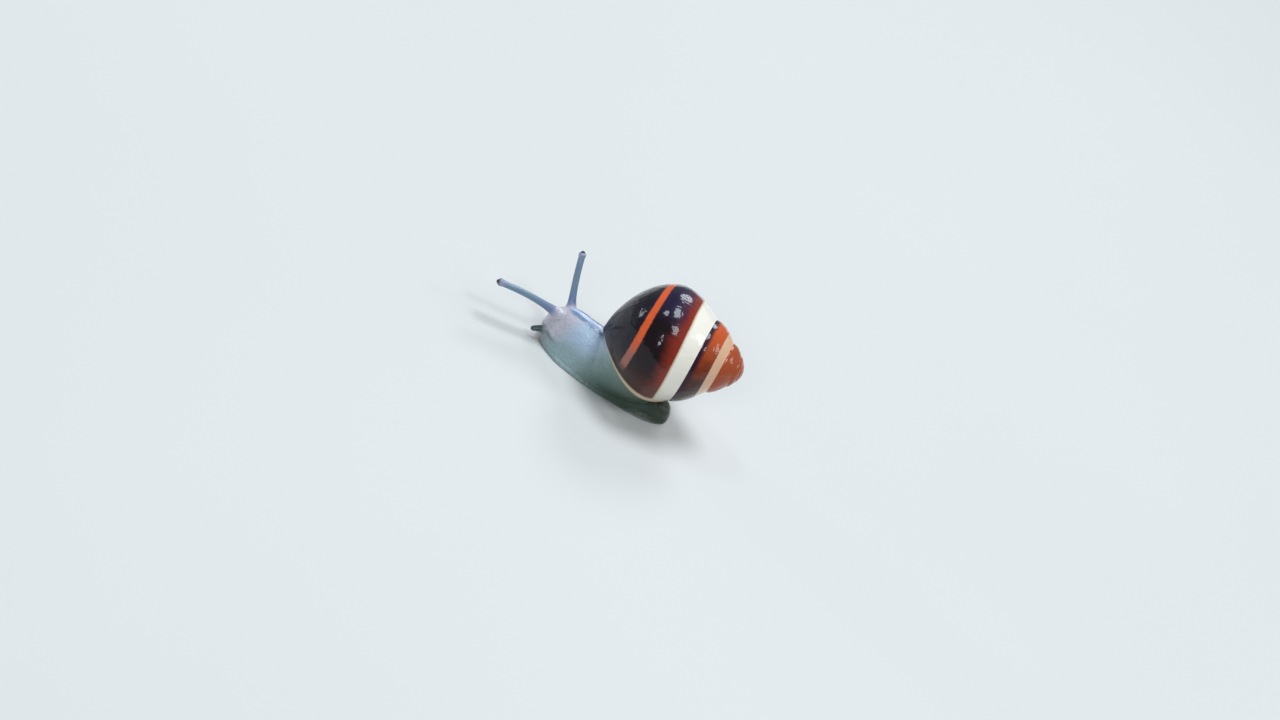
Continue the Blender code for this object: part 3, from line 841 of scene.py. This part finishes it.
def keep_largest(mesh):
    """Drop stray crumbs, so that one connected skin is left."""
    shape = bmesh.new()
    shape.from_mesh(mesh)
    left, groups = set(shape.verts), []
    while left:
        group, todo = set(), [left.pop()]
        while todo:
            point = todo.pop()
            group.add(point)
            near = {edge.other_vert(point) for edge in point.link_edges} & left
            left -= near
            todo += near
        groups.append(group)
    biggest = max(groups, key=len)
    bmesh.ops.delete(shape, geom=[v for v in shape.verts if v not in biggest])
    shape.to_mesh(mesh)
    shape.free()


def relax(mesh, rounds):
    points = mesh_points(mesh)
    pairs = np.empty(len(mesh.edges) * 2, dtype=int)
    mesh.edges.foreach_get("vertices", pairs)
    start, end = pairs.reshape(-1, 2).T
    degree = np.bincount(pairs, minlength=len(points))[:, None]
    for _ in range(rounds):
        for step in RELAX_STEPS:
            total = np.stack([np.bincount(start, points[end, k], len(points))
                              + np.bincount(end, points[start, k], len(points))
                              for k in range(3)], axis=1)
            points = points + step * (total / degree - points)
    set_points(mesh, points)


skin = flesh.data
keep_largest(skin)
relax(skin, RELAX_ROUNDS)
print("skin net after relaxing:", len(skin.vertices), "points")


# %% Measure every point
FEELER_STEPS = 90                   # places tried along a feeler
NEAR_TIMES, NEAR_MORE = 1.35, 0.06  # skin this close to a feeler's line belongs to it


def body_places(points):
    """Along the midline, to the left of it, and up, for every point."""
    x, y, up = points.T
    turn = np.arctan2(BEND_START - x, BEND_RADIUS - y)
    sideways = np.hypot(BEND_START - x, BEND_RADIUS - y) - BEND_RADIUS
    straight = x > BEND_START
    return (np.where(straight, BEND_START - x, turn * BEND_RADIUS),
            np.where(straight, -y, sideways), up)


def along_feeler(points, path, radius):
    """How far along a feeler each point lies; 0 for points that aren't on it."""
    steps = np.linspace(0.0, 1.0, FEELER_STEPS)
    line = np.array([path(t) for t in steps])
    far = np.linalg.norm(points[:, None, :] - line[None, :, :], axis=2)
    nearest = far.argmin(axis=1)
    limit = np.array([radius(t) * NEAR_TIMES + NEAR_MORE for t in steps])
    return np.where(far.min(axis=1) < limit[nearest], steps[nearest], 0.0)


def ramp(x, low, high):
    t = np.clip((x - low) / (high - low), 0.0, 1.0)
    return t * t * (3 - 2 * t)


def hill(x, middle, width):
    return np.exp(-((x - middle) / width) ** 2)


points = mesh_points(skin)
along, sideways, up = body_places(points)
on_feeler = {name: along_feeler(points, path, stalk_radius if "stalk" in name
                                else feeler_radius) for name, path in paths.items()}
stalk_place = np.maximum(on_feeler["left_stalk"], on_feeler["right_stalk"])
feeler_place = np.maximum(on_feeler["left_feeler"], on_feeler["right_feeler"])
on_stalk, on_lower = ramp(stalk_place, 0.10, 0.24), ramp(feeler_place, 0.20, 0.55)
on_body = (1 - on_stalk) * (1 - on_lower)
height = np.interp(along, [row[0] for row in STATIONS], [row[1] for row in STATIONS])
print("skin points:", len(points), "on the stalks:", int((on_stalk > 0.5).sum()))

# %% [markdown]
# ## Folds
# Soft skin creases where it bends or meets something.  A shallow groove runs
# round the foot above its rim, two run along the nape, one runs back from each
# lower feeler, and the mouth is a slit with a cleft and two small lips below
# it.  They could be sculpted by hand, but a smooth hill or dip along the
# skin's normals can be written down, and it leaves no stray corners.
# %% Carve the folds
FEELERS_AT, FEELER_RISE = 5.2, 0.10  # where the lower feelers are; creases climb to them
SOLE_BAND = 0.012                   # points lower than this are pressed onto the floor
RING_HEIGHT, RING_RATE = 0.006, 150  # the rings round a stalk


def wander(*waves):
    """A smooth wavy number for every point, from a few fixed waves."""
    return sum(np.sin(points @ np.array(way) + start) for *way, start in waves) / len(waves)


slow = wander((2.1, 0.7, 1.3, 0.2), (-0.9, 2.6, 0.8, 1.7), (1.2, -1.1, 2.9, 4.0))
quick = wander((5.2, 3.1, 1.9, 0.4), (-3.7, 4.4, 5.1, 2.2), (2.3, -6.1, 3.3, 5.0))
on_face = ramp(along, 5.7, 6.2)
side = np.abs(sideways)
rim_height = 0.42 + 0.05 * slow
by_feeler = FEELER_RISE * (along - FEELERS_AT)
mouth_line = 1.02 - 0.25 * side
folds = {
    "groove over the rim of the foot": (-0.055 - 0.05 * on_face) * hill(up, rim_height, 0.075),
    "furrows of the rim": 0.010 * np.sin(along * 15 + 2 * slow) * hill(up, 0.18, 0.16),
    "grooves along the nape": (-0.04 * hill(side, 0.30 + 0.05 * slow, 0.075)
                               * ramp(up, 2.6, 3.3) * ramp(along, 1.8, 2.6)),
    "crease behind the lower feeler": (-0.075 * hill(up, 1.22 + by_feeler, 0.11)
                                       * ramp(along, 3.9, 5.0) * ramp(side, 0.6, 1.0)),
    "fold above it": (0.03 * hill(up, 1.52 + by_feeler, 0.16)
                      * ramp(along, 3.8, 4.8) * ramp(side, 0.6, 1.0)),
    "mouth": -0.22 * hill(up, mouth_line, 0.08) * ramp(side, 0.60, 0.36) * on_face,
    "cleft below the mouth": (-0.13 * hill(sideways, 0.0, 0.075) * on_face
                              * ramp(up, 1.0, 0.88) * ramp(up, 0.45, 0.6)),
    "lips": 0.09 * hill(side, 0.30, 0.20) * hill(up, 0.76, 0.15) * on_face,
    "upper lip": 0.05 * hill(side, 0.0, 0.45) * hill(up, 1.22, 0.12) * on_face,
    "slack skin of the neck": 0.028 * slow * ramp(up, 0.5, 1.0),
    "small wrinkles": 0.012 * quick * ramp(up, 0.4, 0.8),
}
rings = (RING_HEIGHT * np.sin(stalk_place * RING_RATE) * on_stalk
         * ramp(stalk_place, 0.9, 0.8))
rise = sum(folds.values()) * on_body * ramp(up, 0.02, 0.12) + rings
set_points(skin, points + point_normals(skin) * rise[:, None])
relax(skin, 1)
points = mesh_points(skin)
points[:, 2] = np.maximum(points[:, 2], 0.0)
points[up < SOLE_BAND, 2] = 0.0
set_points(skin, points)
print("folds:", ", ".join(folds))

# %% [markdown]
# ## Marks for grain and colour
# The grain and the colours change from place to place, as they do on the real
# animal, and one mark holds painted shade behind each lower feeler.  A picture
# could be painted for that, but it would need the skin to be unwrapped.  Instead
# each point stores a few numbers of its own, the marks, and both the grain's tree
# and the finish read them by name.
# %% Store the marks
def store(mesh, name, values):
    made = mesh.attributes.new(name, "FLOAT", "POINT")
    made.data.foreach_set("value", values.astype(np.float32))


stale = [item.name for item in skin.attributes if not item.is_required
         and not item.name.startswith(".")]
for name in stale:
    skin.attributes.remove(skin.attributes[name])
# painted shade: where the shade behind each lower feeler is painted
behind_feeler = (hill(up, 1.25 + by_feeler, 0.20) * ramp(along, 3.7, 5.1)
                 * ramp(side, 0.5, 0.95))
marks = {
    "along": along, "share": up / height, "sideways": sideways,
    "stalk": ramp(stalk_place, 0.04, 0.15), "stalk_place": stalk_place,
    "feeler": on_lower * ramp(feeler_place, 0.02, 0.40),
    "painted_feeler_shade": behind_feeler * on_body,
    "mouth": hill(up, mouth_line, 0.09) * ramp(side, 0.66, 0.42) * on_face * on_body,
    "grain": on_body * (0.15 + 0.85 * ramp(up, 0.2, 0.8)) * ramp(up, 0.03, 0.12)
             + 0.10 * (1 - on_body)}
for name, values in marks.items():
    store(skin, name, values)
print("marks:", ", ".join(marks))

# %% [markdown]
# ## Grain of the skin with Geometry Nodes
# A snail's skin is a pavement of low pale granules with darker furrows between
# them.  A Voronoi texture gives one cell for each granule, and the distance to
# the cell's edge, cut off smoothly, makes its flat pillow shape.  The tree
# moves the net along its normals and stores the height, so colour and relief
# agree.
# %% The skin's tree
SKIN_INPUTS = {"Granule size": 0.25, "Granule height": 0.020, "Unevenness": 0.35, "Seed": 4.0}
EDGE_RISE, TOP_FLATNESS = 3.4, 2.2  # how steeply a granule rises, and how flat its top is
SKIN_LEVEL = 0.6                    # the share of a granule's height that lies at the net


def build_skin_tree():
    tree, given = new_tree("grain the skin", SKIN_INPUTS)
    x, y, z = xyz(out(node(tree, "GeometryNodeInputPosition")))
    at = vector(tree, x + given["Seed"], y, z)
    cells = node(tree, "ShaderNodeTexVoronoi", {"feature": "DISTANCE_TO_EDGE"},
                 Vector=at, Scale=1 / given["Granule size"], Randomness=0.85)
    pillow = 1 - (1 - clamped(out(cells) * EDGE_RISE)) ** TOP_FLATNESS
    uneven = 1 + noise(tree, at, 1.3, 2.0) * given["Unevenness"]
    coarse = out(node(tree, "GeometryNodeInputNamedAttribute", {"data_type": "FLOAT"},
                      Name="grain"))
    stored = node(tree, "GeometryNodeStoreNamedAttribute",
                  {"data_type": "FLOAT", "domain": "POINT"}, Geometry=given["Geometry"],
                  Name="granule", Value=pillow * uneven)
    granule = out(node(tree, "GeometryNodeInputNamedAttribute", {"data_type": "FLOAT"},
                       Name="granule"))
    rise = (granule - SKIN_LEVEL) * coarse * given["Granule height"]
    normal = xyz(out(node(tree, "GeometryNodeInputNormal")))
    moved = node(tree, "GeometryNodeSetPosition", Geometry=out(stored),
                 Offset=vector(tree, *(part * rise for part in normal)))
    finish_tree(tree, out(moved), given)
    return tree


skin_tree = build_skin_tree()
print("nodes in the skin's tree:", len(skin_tree.nodes))

# %% [markdown]
# ## Tools for finishes
# Colours are written as a painter's 0 to 255 and turned into the linear
# numbers a shader works in.  Patterns read the piece's own marks or its
# object coordinates, so they are fixed to the surface.
# %% Finish helpers
def paint(red, green, blue):
    """A linear colour from red, green and blue as seen on a screen, 0 to 255."""
    seen = [part / 255 for part in (red, green, blue)]
    return (*(part / 12.92 if part <= 0.04045 else ((part + 0.055) / 1.055) ** 2.4
              for part in seen), 1.0)


def new_material(name):
    made = bpy.data.materials.new(name)
    made.use_nodes = True
    tree = made.node_tree
    return made, tree, tree.nodes["Principled BSDF"]


def set_shader(shader, **values):
    for key, value in values.items():
        feed(shader.id_data, shader.inputs[key.replace("_", " ")], value)


def blend(factor, first, second):
    """The first colour where factor is 0, the second where it is 1."""
    made = factor.tree.nodes.new("ShaderNodeMix")
    made.data_type = "RGBA"
    for key, value in ((0, factor), (6, first), (7, second)):
        feed(factor.tree, made.inputs[key], value)
    return out(made, 2)


def times(first, second):
    """Two colours multiplied."""
    made = first.tree.nodes.new("ShaderNodeMix")
    made.data_type, made.blend_type = "RGBA", "MULTIPLY"
    for key, value in ((0, 1.0), (6, first), (7, second)):
        feed(first.tree, made.inputs[key], value)
    return out(made, 2)


def fade(x, low, high):
    """0 below low and 1 above high, with a soft step between."""
    made = node(x.tree, "ShaderNodeMapRange", {"interpolation_type": "SMOOTHSTEP"},
                Value=x, From_Min=low, From_Max=high)
    return out(made)


def mark(tree, name):
    return Field(tree, node(tree, "ShaderNodeAttribute",
                            {"attribute_name": name}).outputs["Fac"])


def place_in_mm(tree):
    at = node(tree, "ShaderNodeTexCoord").outputs["Object"]
    scaled = node(tree, "ShaderNodeVectorMath", {"operation": "SCALE"},
                  Vector=Field(tree, at), Scale=1 / MM)
    return out(scaled)


def bumped(tree, height, millimetres):
    made = node(tree, "ShaderNodeBump", Height=height, Distance=millimetres * MM)
    return out(made)


print("the shell's maroon in linear numbers:", [round(c, 3) for c in paint(130, 44, 30)])

# %% [markdown]
# ## The shell's finish
# The colour bands run with the spiral, so the whorl map makes them simple: a
# band is a range of *along*, and a change with age is a function of *back*.
# Growth streaks lie along earlier lips, each at one value of *back*.  A thin
# clear coat over the colour gives the wet gloss of the shell's outer skin.
# %% Shell finish
def make_shell_finish():
    finish, tree, shader = new_material("polished shell")
    back, along, _ = xyz(out(node(tree, "ShaderNodeUVMap", {"uv_map": "whorl"})))
    at = place_in_mm(tree)
    streak = noise(tree, vector(tree, back * 34, along * 1.5, 0.0), 1.0, 3.0)
    thread = noise(tree, vector(tree, back * 150, along * 2.2, 5.0), 1.0, 2.0)
    cloud = noise(tree, at, 0.55, 2.0)

    # the last whorl: maroon under the white band, darkening downwards
    deep = fade(along + streak * 0.15 + thread * 0.05 + cloud * 0.06, 0.50, 0.98)
    colour = blend(deep, paint(130, 44, 30), paint(25, 13, 16))
    # painted sheen: a violet halo painted into the colour beside the highlights
    painted_violet_sheen = fade(back, 0.24, 0.32) * fade(back, 0.62, 0.45) * fade(along, 0.5, 0.8)
    colour = blend(painted_violet_sheen * 0.7, colour, paint(36, 32, 62))
    centre = 1.31 - smaller(back, 0.5) * 0.4
    colour = blend(fade(along - centre, 0.02, 0.10), colour, paint(26, 22, 33))
    colour = blend(fade(back + streak * 0.02, 0.13, 0.05), colour,
                   blend(fade(along, 0.8, 1.2), paint(86, 34, 16), paint(50, 24, 16)))
    # painted light: a paler brown by the axis lifts the shade in the hollow there
    colour = blend(fade(along, 1.5, 1.85) * fade(back, 0.25, 0.6), colour, paint(112, 82, 66))
    away = (along - centre + cloud * 0.008 + thread * 0.006).do("ABSOLUTE")
    band = fade(away, 0.050, 0.028) * fade(back + thread * 0.01, 0.035, 0.09)
    # near the lip the band turns pinkish, partly its own colour and partly a painted sheen
    orange = blend(fade(back, 0.11, 0.17), paint(158, 104, 92), paint(214, 94, 52))
    orange = blend(fade(streak, -0.2, 0.8) * 0.35, orange, paint(176, 70, 40))
    colour = blend(band, colour, orange)

    # the spire: orange brown, with a dark line over the seam below
    # it darkens towards the last whorl, partly its own colour and partly painted shade
    old = blend(fade(back + streak * 0.05, 1.10, 1.42), paint(44, 18, 12),
                paint(190, 84, 40))
    old = blend(fade(streak + thread * 0.4, 0.0, 0.9) * 0.35, old, paint(120, 46, 24))
    line = fade(along + streak * 0.03, 0.72, 0.90) * fade(back, 1.95, 1.5)
    old = blend(line, old, paint(48, 20, 34))
    old = blend(fade(back, 1.8, 2.15), old, paint(158, 74, 40))
    colour = blend(fade(back, 0.93, 1.06), colour, old)

    # the pale band under the seam
    edge = (0.32 + 0.13 * fade(back, 1.1, 0.5) + 0.13 * (math.e ** (back * -7.7))
            + cloud * 0.010 + thread * 0.008)
    pale = blend(fade(back, 0.9, 1.15), paint(232, 228, 216), paint(212, 170, 138))
    pale = blend(fade(along / edge + thread * 0.05, 0.86, 1.0), pale, paint(196, 178, 152))
    pale = blend(fade(thread + streak * 0.5, 0.1, 1.2) * 0.30, pale, paint(205, 196, 178))
    # painted shade: the pale band turns greyer next to the lip
    pale = blend(fade(back, 0.12, 0.02) * 0.6, pale, paint(176, 168, 146))
    banded = fade(along, edge + 0.022, edge - 0.012) * fade(back + streak * 0.03, 1.95, 1.55)
    colour = blend(banded, colour, pale)

    # the lip's thick pale edge, and the inside of the mouth
    rim = fade(back + thread * 0.0015 - fade(along, 0.9, 0.4) * 0.010, 0.024, 0.014)
    colour = blend(rim * fade(back, 0.9, 0.5), colour, paint(204, 182, 152))
    inside = fade(back * -1, 0.0, 0.004)
    throat = blend(fade(back * -1, 0.25, 0.5), paint(186, 168, 146), paint(120, 96, 96))
    colour = blend(inside, colour, throat)

    to_axis = fade(along, 1.75, 1.2)
    grown = (thread * 0.04 + streak * 0.22) * to_axis + (
        noise(tree, at, 1.1, 1.0) * 0.70 + noise(tree, at, 2.3, 1.0) * 0.42)
    set_shader(shader, Base_Color=colour, Roughness=0.33 + clamped(thread * 0.5) * 0.10,
               Normal=bumped(tree, grown, 0.030), Coat_Normal=bumped(tree, grown, 0.028),
               Coat_Weight=1.0, Coat_Roughness=0.07, Coat_IOR=1.33, IOR=1.4,
               Specular_IOR_Level=0.12, Specular_Tint=(0.62, 0.66, 1.0, 1.0))
    return finish


shell_finish = make_shell_finish()
print("shell finish nodes:", len(shell_finish.node_tree.nodes))

# %% [markdown]
# ## The skin's finish
# Wet skin is a little see-through and covered by slime.  Subsurface scattering
# softens it and a clear coat gives it the wet glints.  Its colour changes
# along the body: pinkish grey on the head, blue at the neck, partly its own tone
# and partly a painted sheen, and a dark green grey towards the tail, partly painted
# shade under the shell and a painted green reflection.  The granules are paler
# than the furrows.
# %% Skin finish
def make_skin_finish():
    finish, tree, shader = new_material("wet skin")
    along, share, sideways = (mark(tree, name) for name in ("along", "share", "sideways"))
    granule, stalk, feeler = (mark(tree, name) for name in ("granule", "stalk", "feeler"))
    at = place_in_mm(tree)
    cloud, speck = noise(tree, at, 0.9, 3.0), noise(tree, at, 5.0, 2.0)
    along = along + cloud * 0.25 + (smaller(share, 1.2) - 0.5) * 1.1

    # darker green grey towards the tail: partly painted shade under the shell and a painted
    # green reflection
    colour = blend(fade(along, -5.5, -2.5), paint(52, 66, 52), paint(80, 98, 86))
    colour = blend(fade(along, -2.0, 1.2), colour, paint(116, 142, 136))
    colour = blend(fade(along, 0.3, 2.2), colour, paint(149, 173, 179))
    # the pale blue of the upper neck is partly its own tone and partly a painted sheen
    neck = fade(along, 1.0, 2.4) * fade(share, 0.30, 0.70)
    colour = blend(neck, colour, paint(178, 200, 222))
    face = fade(along, 3.4, 4.9) * fade(share, 0.20, 0.45)
    colour = blend(face, colour, paint(190, 188, 200))
    low_face = fade(along, 3.7, 5.0) * fade(share, 0.42, 0.20)
    colour = blend(low_face, colour, paint(160, 169, 173))
    # a darker blue grey along the top of the back: partly its own tone, partly a painted dark
    # reflection
    back_tone_and_painted_reflection = (fade(share + cloud * 0.02, 0.93, 0.985) * fade(along, 1.5, 2.6)
                 * fade(along + cloud * 0.3, 7.3, 6.0))
    colour = blend(back_tone_and_painted_reflection, colour, paint(104, 130, 162))
    # painted highlight: a pale bluish line along the middle of the back
    painted_ridge_highlight = back_tone_and_painted_reflection * fade(sideways.do("ABSOLUTE") + cloud * 0.06, 0.34, 0.12)
    colour = blend(painted_ridge_highlight, colour, paint(184, 200, 230))
    # painted shade behind each lower feeler
    colour = blend(mark(tree, "painted_feeler_shade") * 0.5, colour, paint(92, 100, 108))
    colour = blend(mark(tree, "mouth") * 0.8, colour, paint(96, 84, 88))
    rim = fade(share, 0.10, 0.03) * fade(along, 6.4, 5.4)
    colour = blend(rim * 0.5, colour, paint(112, 126, 122))

    reach = mark(tree, "stalk_place")
    shaft = blend(fade(reach, 0.15, 0.45), paint(112, 128, 164), paint(112, 138, 158))
    shaft = blend(fade(reach, 0.84, 0.93), shaft, paint(142, 150, 174))
    shaft = blend(fade(reach, 0.955, 0.985), shaft, paint(80, 84, 96))
    colour = blend(stalk, colour, shaft)
    # the dark green of the lower feelers is partly their own tone and partly a painted dark
    # reflection
    colour = blend(feeler, colour, paint(52, 72, 74))

    furrow = clamped(1.0 - granule) * (1 - stalk) * (1 - feeler)
    dark = blend(furrow * 0.30, (1.0, 1.0, 1.0, 1.0), (0.55, 0.58, 0.62, 1.0))
    # painted highlights: pale specks that brighten the colour here and there
    light = blend(clamped(speck * 0.5 + cloud * 0.3) * 0.30, (1.0, 1.0, 1.0, 1.0),
                  (1.30, 1.28, 1.29, 1.0))
    colour = times(times(colour, dark), light)

    matt = clamped(fade(share, 0.24, 0.06) + fade(along, -0.8, -2.8))
    grain = node(tree, "ShaderNodeTexVoronoi", {"feature": "F1"}, Vector=at, Scale=7.5)
    height = granule * 0.6 - out(grain) * 0.5 + speck * 0.2
    set_shader(shader, Base_Color=colour, Roughness=0.42 - clamped(granule) * 0.08,
               Normal=bumped(tree, height, 0.014), Coat_Normal=bumped(tree, height, 0.007),
               Coat_Weight=1.0 - matt * 0.4, Coat_Roughness=0.08 + matt * 0.22,
               Coat_IOR=1.38, IOR=1.4,
               Subsurface_Weight=0.55, Subsurface_Scale=0.5 * MM,
               Subsurface_Radius=(1.0, 0.8, 0.75), Specular_IOR_Level=0.4)
    return finish


skin_finish = make_skin_finish()
print("skin finish nodes:", len(skin_finish.node_tree.nodes))

# %% [markdown]
# ## Eyes
# The eye of a land snail is a dark bead under clear skin at the tip of each
# long stalk.  Each is its own small glossy ball, set most of the way into the
# bulb.  Its depths are almost black, with a faint blue edge that is a painted
# sheen, stronger where the ball turns away from the view.
# %% Eyes
EYE_AT = 0.972                      # how far along its stalk an eye's middle lies
EYE_SEGMENTS, EYE_RINGS = 48, 32


def make_eye_finish():
    finish, tree, shader = new_material("eye")
    # painted sheen: the colour turns blue where the ball faces away from the view
    painted_edge_sheen = out(node(tree, "ShaderNodeLayerWeight", Blend=0.35), "Facing")
    mottle = noise(tree, place_in_mm(tree), 9.0, 2.0)
    colour = blend(clamped(painted_edge_sheen + mottle * 0.15), paint(10, 11, 16), paint(44, 50, 66))
    set_shader(shader, Base_Color=colour, Roughness=0.18 + clamped(mottle) * 0.05,
               Normal=bumped(tree, mottle, 0.003), Coat_Weight=1.0, Coat_Roughness=0.03,
               Coat_IOR=1.4)
    return finish


def finished(mesh):
    """The mesh in metres, as an object of its own name at the origin."""
    mesh.transform(Matrix.Scale(MM, 4))
    made = bpy.data.objects.new(mesh.name, mesh)
    scene.collection.objects.link(made)
    return made


def make_eye(name, path, finish):
    shape = bmesh.new()
    ahead = heading(path, EYE_AT)
    turned = (Matrix.Translation(path(EYE_AT))
              @ ahead.to_track_quat("Z", "Y").to_matrix().to_4x4())
    bmesh.ops.create_uvsphere(shape, u_segments=EYE_SEGMENTS, v_segments=EYE_RINGS,
                              radius=EYE_RADIUS, matrix=turned)
    for face in shape.faces:
        face.smooth = True
    mesh = bpy.data.meshes.new(name)
    shape.to_mesh(mesh)
    shape.free()
    mesh.materials.append(finish)
    return finished(mesh)


eye_finish = make_eye_finish()
eyes = {side: make_eye(side + "_eye_bead", paths[side + "_stalk"], eye_finish)
        for side in ("left", "right")}
print("eyes:", ", ".join(eye.name for eye in eyes.values()))

# %% [markdown]
# ## Run the trees and keep plain meshes
# Each tree runs once with its inputs set.  What is kept is a plain mesh, with
# its marks, in metres.  The holder and its modifier are thrown away.
# %% Shell and skin
shell_mesh = run_tree(shell_tree, "wound_shell", SHELL_INPUTS, shell_finish)
print("shell: open edges and volume (mm3):", closed(shell_mesh))
skin_mesh = run_tree(skin_tree, "whole_skin", SKIN_INPUTS, skin_finish, mesh=skin)
for mesh in (shell_mesh, skin_mesh):
    mesh.shade_smooth()
shell, body = finished(shell_mesh), finished(skin_mesh)
for item in (shell, body):
    item.data.calc_loop_triangles()
    print(item.name, "has", len(item.data.loop_triangles), "triangles")

# %% [markdown]
# ## Tie the pieces to the frame
# The packed parts that the new pieces take the place of are hidden.  Nothing
# bends here, so every piece rides on the one root body.
# %% Tie to the frame
for item in (shell, body, *eyes.values()):
    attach(item, "root")
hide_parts("shell")
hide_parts("head", "neck", "foot_front", "mantle", "foot_middle", "tail",
            "eye_stalk_lower_left", "eye_stalk_upper_left", "eye_stalk_lower_right",
            "eye_stalk_upper_right", "lower_feeler_left", "lower_feeler_right")
for side, eye in eyes.items():
    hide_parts("eye_" + side)

# %% [markdown]
# ## Floor and light
# The stage is a plain pale floor under soft panels.  A glossy dark shell shows
# its lights as much as its colour.  One big panel would put one broad glare on
# it, so seven small round ones hang with gaps between them, each where its
# reflection is wanted, and the shell's uneven surface breaks them into patches.
# %% Floor and panels
FLOOR_SIZE = 4.0                    # metres from the middle to each edge
AIM_HEIGHT = 4 * MM


def make_floor():
    finish, tree, shader = new_material("pale floor")
    cloud = noise(tree, place_in_mm(tree), 0.01, 3.0)
    set_shader(shader, Base_Color=blend(clamped(cloud * 0.5 + 0.5), paint(200, 202, 201),
                                        paint(206, 208, 207)), Roughness=0.85)
    shape = bmesh.new()
    bmesh.ops.create_grid(shape, x_segments=2, y_segments=2, size=FLOOR_SIZE)
    mesh = bpy.data.meshes.new("floor")
    shape.to_mesh(mesh)
    shape.free()
    mesh.materials.append(finish)
    made = bpy.data.objects.new("floor", mesh)
    scene.collection.objects.link(made)
    return made


def hang_panel(name, towards, distance, size, power, colour):
    """A round light panel that faces the animal from a direction."""
    towards = Vector(towards).normalized()
    light = bpy.data.lights.new(name, "AREA")
    light.shape, light.size, light.energy, light.color = "DISK", size, power, colour
    made = bpy.data.objects.new(name, light)
    made.location = towards * distance + Vector((0, 0, AIM_HEIGHT))
    made.rotation_euler = towards.to_track_quat("Z", "Y").to_euler()
    scene.collection.objects.link(made)
    return made


floor = make_floor()
COOL, NEUTRAL = (0.90, 0.95, 1.0), (1.0, 0.99, 0.97)
PANELS = (                          # name, towards, distance and size in m, watts, colour
    ("overhead", (-0.02, 0.10, 1.00), 0.45, 0.19, 1.26, COOL),
    ("overhead near", (0.30, -0.38, 0.87), 0.45, 0.12, 0.42, COOL),
    ("overhead far", (0.13, 0.75, 0.65), 0.45, 0.16, 0.54, COOL),
    ("overhead head", (-0.55, 0.05, 0.83), 0.45, 0.07, 0.16, COOL),
    ("tail side", (0.78, 0.06, 0.62), 0.45, 0.12, 0.24, NEUTRAL),
    ("near side", (-0.27, -0.82, 0.50), 0.50, 0.12, 0.52, COOL),
    ("head side", (-0.93, 0.28, 0.21), 0.50, 0.10, 0.20, COOL))
panels = [hang_panel(*sizes) for sizes in PANELS]
print("panels:", ", ".join(panel.name for panel in panels))

# %% World and stage
WORLD_COLOUR, WORLD_STRENGTH = (0.86, 0.90, 0.92, 1.0), 0.22
world = bpy.data.worlds.new("studio")
world.use_nodes = True
background = world.node_tree.nodes["Background"]
background.inputs["Color"].default_value = WORLD_COLOUR
background.inputs["Strength"].default_value = WORLD_STRENGTH
scene.world = world
scene.view_settings.view_transform = "Standard"
print("view transform:", scene.view_settings.view_transform)
